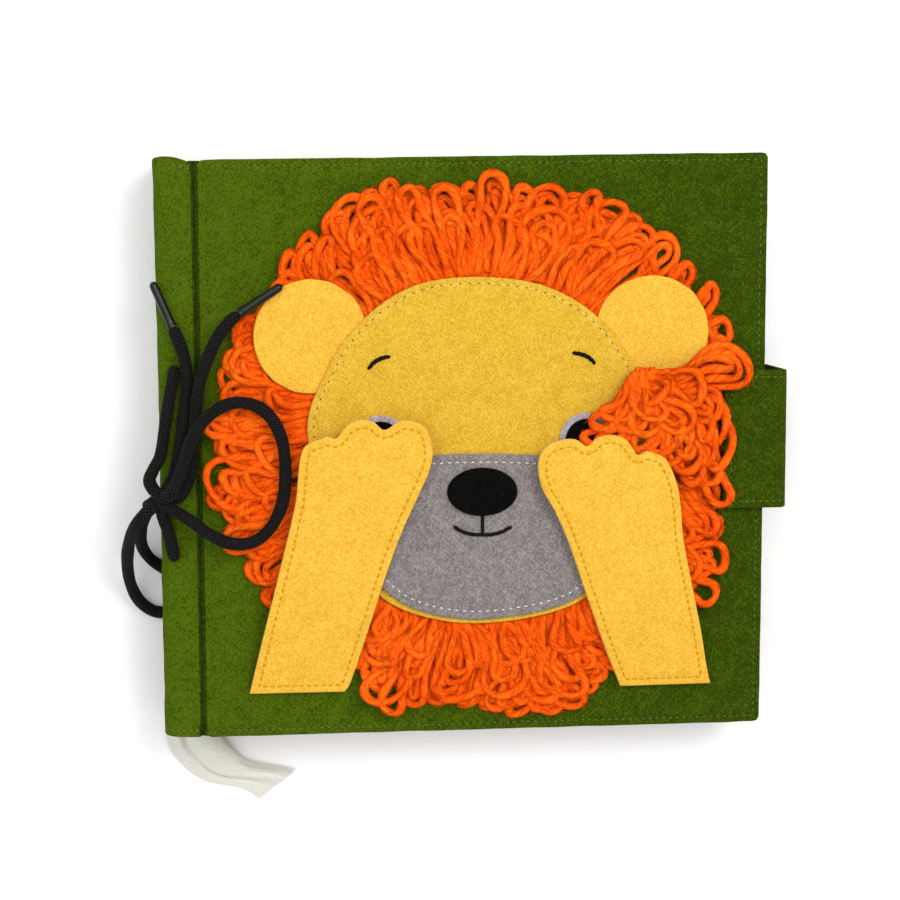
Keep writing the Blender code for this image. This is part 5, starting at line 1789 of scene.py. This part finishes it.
    def teardrop(self, length: float, width: float, neck: float) -> np.ndarray:
        """A loop's outline from its root: two legs that part and a round end.

        Args:
            length: How far the loop reaches.
            width: Its width at the round end.
            neck: The legs' distance at the root.

        Returns:
            (along, across) points from one leg round to the other.
        """
        r = min(width / 2, length / 3)
        u = np.linspace(0, 1, 13)[:-1]
        legs = np.column_stack([u * (length - r), neck / 2 + (r - neck / 2) * eased(u) ** 1.2])
        turn = np.linspace(np.pi / 2, -np.pi / 2, 11)
        end = np.column_stack([length - r + r * np.cos(turn), r * np.sin(turn)])
        return np.vstack([legs, end, legs[::-1] * (1, -1)])

    def loop(self, root: np.ndarray, tip: np.ndarray, width: float, heights: Spot,
             bend: float = 0.0, neck: float = 2.6) -> np.ndarray:
        """One loop from a root to a tip.

        Args:
            root: (x, y) where both its ends start.
            tip: (x, y) of its round end.
            width: Its width.
            heights: Its height over the cover at the root and at the tip.
            bend: How far it bows sideways, as a share of its length.
            neck: The ends' distance at the root.

        Returns:
            The strand's centre line.
        """
        way = tip - root
        length = float(np.linalg.norm(way))
        way = way / length
        side = np.array((-way[1], way[0]))
        shape = self.teardrop(length, width, neck)
        s = shape[:, 0] / length
        a, b, c = self.chance.uniform(0, 6.28, 3)
        wobble = 0.5 * np.sin(7 * s + a) + 0.35 * np.sin(np.linspace(0, 13, len(s)) + b)
        turn = 0.07 * math.sin(0.11 * (root[0] - 0.7 * root[1]))
        sway = bend * np.sin(np.pi * s) + turn * np.sin(2 * np.pi * s)
        across = shape[:, 1] + length * sway + wobble
        flat = root + shape[:, :1] * way + across[:, None] * side
        height = heights[0] + (heights[1] - heights[0]) * eased(s * 1.4)
        height = height + 0.45 * np.sin(np.linspace(0, 9, len(s)) + c)
        return np.column_stack([flat, height])

    def ring_loops(self) -> dict[str, list[np.ndarray]]:
        """Lays the four layers all round, and the loops that stand out.

        Returns:
            Each part's strands.
        """
        made: dict[str, list[np.ndarray]] = {part: [] for part in self.parts}
        for layer, (count, share, width) in enumerate(self.layers):
            for k in range(count):
                angle = math.radians(-54 + 360 * (k + self.chance.uniform(-0.3, 0.3) + 0.3 * layer) / count)
                edge = self.reach(angle, self.face)
                far = self.reach(angle, self.fringe)
                reach = edge + (far - edge) * (share + self.chance.uniform(-0.2, 0.05)) - 1.7
                lean = np.interp(math.degrees(angle), *self.leans) + 0.12 * math.sin(8.3 * angle)
                lean = (lean if layer else 0.0) + self.chance.normal(0, 0.05)
                outer = angle + lean * (far - edge) / far
                start = edge - self.under_face
                root = np.array(self.centre) + start * np.array((math.cos(angle), math.sin(angle)))
                tip = np.array(self.centre) + reach * np.array((math.cos(outer), math.sin(outer)))
                size = width * self.chance.uniform(0.45, 1.3)
                low = 1.5 + 0.6 * layer
                high = 1.5 + 1.5 * layer + self.chance.uniform(-0.4, 0.8)
                bend = 0.12 * math.sin(5.2 * angle + 1.0 + layer) + self.chance.normal(0, 0.05)
                degrees = math.degrees(angle) % 360
                part = next(p for p, (a, b) in self.parts.items() if a <= degrees < b or a <= degrees - 360 < b)
                made[part].append(self.seated(self.loop(root, tip, size, (low, high), bend), layer))
                if layer in (1, 2):
                    inner = tip - (tip - root) / np.linalg.norm(tip - root) * self.chance.uniform(3.0, 4.6)
                    nested = self.loop(root, inner, max(size - 6.6, 3.2), (low, high - 0.5), bend, 1.6)
                    made[part].append(self.seated(nested, layer))
        for part, table in self.features.items():
            for root, tip, width, low, high, bend in table:
                line = self.loop(np.array(root), np.array(tip), width, (low, high), bend)
                made[part].append(self.seated(line, 3))
        return made

    def fuzz(self, loops: np.ndarray, count: int) -> tuple[np.ndarray, np.ndarray]:
        """Fine stray fibres that stand off the strands.

        Args:
            loops: The strands' centre lines, in world millimetres.
            count: How many fibres.

        Returns:
            The fibres' paths and radii. A real fibre is 0.03 mm thick, drawn at 0.2 mm.
        """
        row = self.chance.integers(0, len(loops), count)
        place = self.chance.integers(4, loops.shape[1] - 4, count)
        spots = loops[row, place]
        ahead = unit(loops[row, place + 1] - spots)
        off = self.chance.normal(0, 1, (count, 3))
        off -= ahead * (off * ahead).sum(1)[:, None]
        off[:, 2] = np.abs(off[:, 2])
        off = unit(off)
        ahead *= self.chance.choice((-1.0, 1.0), count)[:, None]
        size = self.chance.uniform(1.4, 4.0, count)[:, None, None]
        t = np.linspace(0, 1, 4)[None, :, None]
        lean = self.chance.uniform(0.1, 0.6, count)[:, None, None]
        paths = spots[:, None] + off[:, None] * self.strand * 0.9
        paths = paths + size * (t * ahead[:, None] + lean * t**1.6 * off[:, None])
        paths[..., 2] = np.clip(paths[..., 2], COVER_TOP + 0.2, COVER_TOP + self.fuzz_top)
        return paths, np.broadcast_to(0.1 * (1 - 0.7 * t[..., 0]), paths.shape[:2])

    def seated(self, line: np.ndarray, layer: int) -> np.ndarray:
        """Lowers a strand below what covers it, and keeps it off the strap.

        Args:
            line: The strand's line, with heights over the cover.
            layer: The layer that it belongs to.

        Returns:
            The line in world millimetres.
        """
        line = line.copy()
        x, y = line[:, 0], line[:, 1]
        by_strap = (y > self.strap_span[0]) & (y < self.strap_span[1])
        line[:, 0] = np.where(by_strap, np.minimum(x, self.strap_x + 0.1 * (x - self.strap_x)), x)
        room = np.maximum(self.ceiling(line[:, :2]) - 0.9 * (3 - layer), 0.9)
        line[:, 2] = COVER_TOP + np.clip(line[:, 2], 0.9, room)
        return line

    def lay(self, name: str, lines: list[np.ndarray], fibres: int, node: str, sides: int = 8) -> Piece:
        """Makes one part of the mane from its strands.

        Args:
            name: The piece's name.
            lines: The strands' centre lines in world millimetres.
            fibres: How many stray fibres.
            node: The CAD node that it stands for.
            sides: The corners of a strand's section.

        Returns:
            The piece, which doesn't ride yet.
        """
        into = Mesher()
        paths = np.stack(lines)
        along = np.linspace(0, 1, paths.shape[1])[None]
        phase = self.chance.uniform(0, 6.28, (len(paths), 1))
        radii = self.strand * (1 + 0.15 * np.sin(17 * along + phase) + 0.08 * np.sin(41 * along + 2 * phase))
        into.strands(paths, radii, sides, 0, 0.92)
        into.strands(*self.fuzz(paths, fibres), 3, 0, capped=False)
        made = into.build(name, [ROVING], 180)
        claim(made, "mane_yarn", node)
        return made

    def lock_loops(self) -> list[np.ndarray]:
        """The lock over the right eye, and the big loose loops beside it.

        Returns:
            The strands, with heights over the cover.
        """
        table = [
            ((60, 28), (38.5, 3), 8, 9.7, 11.8, 0.10), ((63, 27), (43.5, 1.5), 9, 9.9, 12.4, 0.06),
            ((65, 26), (49, 1), 10, 9.8, 11.8, -0.04), ((59, 29), (41.5, 9.5), 8, 10.8, 12.6, 0.12),
            ((67, 27), (54, 0.5), 10, 10, 12.2, 0.05), ((70, 26), (60, -1), 10, 9.8, 11.8, -0.05),
            ((60, 31), (46, 13), 8, 11.2, 13.1, 0.14), ((72, 25), (66.5, -2), 10, 10, 12, 0.06),
            ((66, 30), (52, 8), 10, 11, 13.2, 0.1), ((70, 29), (60, 6), 11, 11, 13.4, -0.08),
            ((64, 25), (104.5, 32), 17, 9.8, 9.4, 0.03), ((66, 25), (100.5, 31.5), 10.5, 10, 10, 0.03),
            ((68, 25), (97, 33), 5, 10.4, 10.6, 0.06), ((64, 24), (92, 14), 13, 10.4, 10.8, -0.08),
            ((66, 24), (88, 15), 6, 10.8, 11.4, -0.08), ((64, 26), (92.5, 2), 13, 9.8, 10.2, 0.10),
            ((66, 24), (88, 3.5), 6.5, 10.4, 11, 0.10), ((66, 24), (93.5, -8), 12, 9.2, 9.4, 0.12),
            ((67, 24), (89, -6), 6, 10, 10.2, 0.12), ((64, 26), (82, -9), 12, 9.4, 10, -0.08),
            ((66, 26), (80, -4), 6, 10.2, 10.8, -0.08), ((62, 28), (74, -6), 12, 10, 11.2, 0.06),
            ((64, 28), (73, 0), 6, 10.6, 12, 0.06), ((60, 30), (80, 8), 12, 11.6, 13, -0.16),
            ((60, 29), (76, 10), 6, 12, 13.4, -0.16), ((61, 30), (84, 19), 11, 11.6, 12.8, 0.12),
            ((60, 30), (68, 12), 10, 12, 13.8, -0.2), ((74, 18), (91, -14.5), 12, 8.6, 8.8, -0.08),
            ((76, 14), (96.5, -23), 9, 7.8, 7.6, 0.08), ((72, 16), (84, -14), 9, 8.8, 9.2, 0.06),
            ((62, 24), (72, 22), 12, 11.6, 12.6, 0.2), ((58, 30), (64, 18), 9, 12.2, 13.6, 0.3),
        ]
        return [
            self.loop(np.array(root) + self.chance.normal(0, 1.5, 2), np.array(tip), width, (low, high), bend)
            for root, tip, width, low, high, bend in table
        ]

    def build(self) -> None:
        """Makes the four parts and the lock."""
        for part, lines in self.ring_loops().items():
            made = self.lay(f"mane_{part}_loops", lines, self.fibres, f"mane_{part}")
            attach(made, "front_cover")
            if part == "left":
                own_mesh(made)
        lines = self.lock_loops()
        for line in lines:
            line[:, 2] += COVER_TOP
        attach(self.lay("mane_lock_loops", lines, self.lock_fibres, "mane_lock"), "front_cover")


# The strap and the label


@dataclass
class Strap:
    """A two-layer felt strap sewn into the back cover, closed over the fore edge with tape."""

    y0: float = STRAP_Y[0]
    y1: float = STRAP_Y[1]
    bend_radius: float = 3.2
    thick: float = 1.9
    low: float = 2.55
    x: float = 121.4
    flap_z: float = 38.1
    flap_end: float = 96.0

    def band(self, name: str, profile: Sequence[Spot],
             nodes: Sequence[str], free_end: bool) -> None:
        """One part of the strap, which bends from one body to the next.

        Args:
            name: The piece's name.
            profile: (x, z) points along the strap.
            nodes: The CAD nodes that it stands for.
            free_end: True where the strap's end is sewn across.
        """
        line = smooth_line(profile, 1.0)
        inner = np.linspace(self.y0 + 3.4, self.y1 - 3.4, 20)
        edge = np.array([0, 0.3, 0.8, 1.6, 2.2, 2.8])
        rows = np.concatenate([self.y0 + edge, inner, (self.y1 - edge)[::-1]])
        grid = np.swapaxes(swept(line, rows), 0, 1)
        grid[..., 2] += 0.15 * ripple(grid[..., :2], 21, 2.0)
        into = Mesher()
        into.sheet(grid, self.thick, 0, 1)
        normal = sheet_normals(grid)
        if normal[..., 2].mean() < 0:
            normal = -normal
        face = grid + normal * (self.thick / 2 - 0.12)
        seams = [face[5], face[-6]]
        if free_end:
            seams = [seam[:-3] for seam in seams] + [face[5:-5, -4]]
        for seam in seams:
            StitchRow(seam, pitch=2.8, width=0.42, rise=0.12).mesh(into, 2, 3)
        made = into.build(name, SEWN_GREEN)
        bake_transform(made)
        claim(made, "cover_felt", *nodes)

    def patch(self, node: str, low: float, body: str) -> None:
        """A patch of hook or loop tape, sewn round its edge.

        Args:
            node: The CAD node that it stands for.
            low: The height of its underside.
            body: The body that it moves with.
        """
        cut = FeltCut(box_outline(98, 112, -20, 24), low, low + 0.7, 1.4, 0.1, relief=0.02, spacing=3.0)
        row = StitchRow(cut.seam(1.4), pitch=2.2, width=0.3, rise=0.08)
        settle(sewn_piece(node + "_tape", cut, [TAPE, TAPE, BLACK_THREAD], row), body, "hook_tape", node)

    def build(self) -> None:
        """Makes the strap's two lengths and both patches."""
        x, r = self.x, self.bend_radius
        turn = np.linspace(0, np.pi / 2, 5)
        low_bend = [(x - r + r * math.sin(a), self.low + r - r * math.cos(a)) for a in turn]
        self.band("strap_lower_felt", [(100.5, self.low), (108.0, self.low), *low_bend, (x, 12.0), (x, 20.0)],
                  ("strap_anchor", "strap_wrap"), False)
        top_bend = [(x - r + r * math.cos(a), self.flap_z - r + r * math.sin(a)) for a in turn]
        self.band("strap_upper_felt", [(x, 19.8), (x, 28.0), *top_bend, (110.0, self.flap_z),
                                       (self.flap_end, self.flap_z)],
                  ("strap_flap",), True)
        self.patch("strap_loops", COVER_TOP + 0.3, "front_cover")
        self.patch("strap_hooks", COVER_TOP + 1.3, "strap_flap")


@dataclass
class CareLabel:
    """A bare satin ribbon, caught under the foot of the spine and curled to the right."""

    left: Route = field(default_factory=lambda: [
        (-127.5, -111, 4), (-130, -119, 3.2), (-129.4, -126.5, 1.4), (-127, -131.2, 0.8),
        (-120.8, -138.2, 0.6), (-113.8, -142.6, 0.6), (-105.1, -144.6, 0.6), (-98, -146.4, 0.7),
        (-91.8, -150.6, 0.6)])
    right: Route = field(default_factory=lambda: [
        (-110.5, -111, 4.3), (-109, -118.5, 4.6), (-106.4, -124, 4.6), (-103, -128.5, 4),
        (-98.7, -132.9, 2.6), (-93.3, -134.9, 1.8), (-87.5, -136.2, 1.2), (-81.6, -137.2, 0.9),
        (-76.6, -138.2, 0.8)])

    rows: int = 46
    columns: int = 26
    thick: float = 0.3

    def build(self) -> None:
        """Makes the ribbon as one curled sheet of cloth."""
        rows, columns = self.rows, self.columns
        left, right = (np.array(side, float) for side in (self.left, self.right))
        sides = []
        for side in (left, right):
            line = smooth_line(side, 0.5)
            sides.append(np.stack([np.interp(np.linspace(0, 1, rows), np.linspace(0, 1, len(line)), c)
                                   for c in line.T], axis=1))
        v = np.linspace(0, 1, rows)[:, None]
        u = np.linspace(0, 1, columns)[None]
        grid = sides[0][:, None] * (1 - u)[..., None] + sides[1][:, None] * u[..., None]
        swell = 6.5 * np.sin(np.pi * np.clip((u - 0.32) / 0.68, 0, 1)) ** 0.8 * (1 - v) ** 0.8 * eased(v * 5)
        fold = 2.6 * np.exp(-(((u - 0.3) / 0.04) ** 2)) * (1 - v) * eased(v * 6)
        ridge = 2.0 * np.exp(-(((u - 0.84) / 0.07) ** 2)) * eased((v - 0.45) * 4)
        ridge = ridge + 1.3 * np.exp(-(((u - 0.12 - 0.5 * v) / 0.12) ** 2)) * eased(v * 3)
        grid[..., 2] += swell - fold + ridge + 0.2 * ripple(grid[..., :2], 9, 3.0) * v
        grid[..., 2] = np.maximum(grid[..., 2], 0.35)
        into = Mesher()
        into.sheet(grid, self.thick, soft=0.3)
        made = into.build("care_label_ribbon", [SATIN])
        settle(made, "book", "label_satin", "care_label")


def main() -> None:
    """Builds the scene in order."""
    logging.basicConfig(level=logging.INFO, format="%(name)s %(message)s")
    studio = Studio()
    studio.camera()
    for part in (Lace(), Covers(), Spine(), Leaves(), LionFace(), Paw("left"), Paw("right"), Mane(), Strap(),
                 CareLabel(), studio):
        part.build()
        LOG.info("%s done", type(part).__name__)


if __name__ == "__main__":
    main()
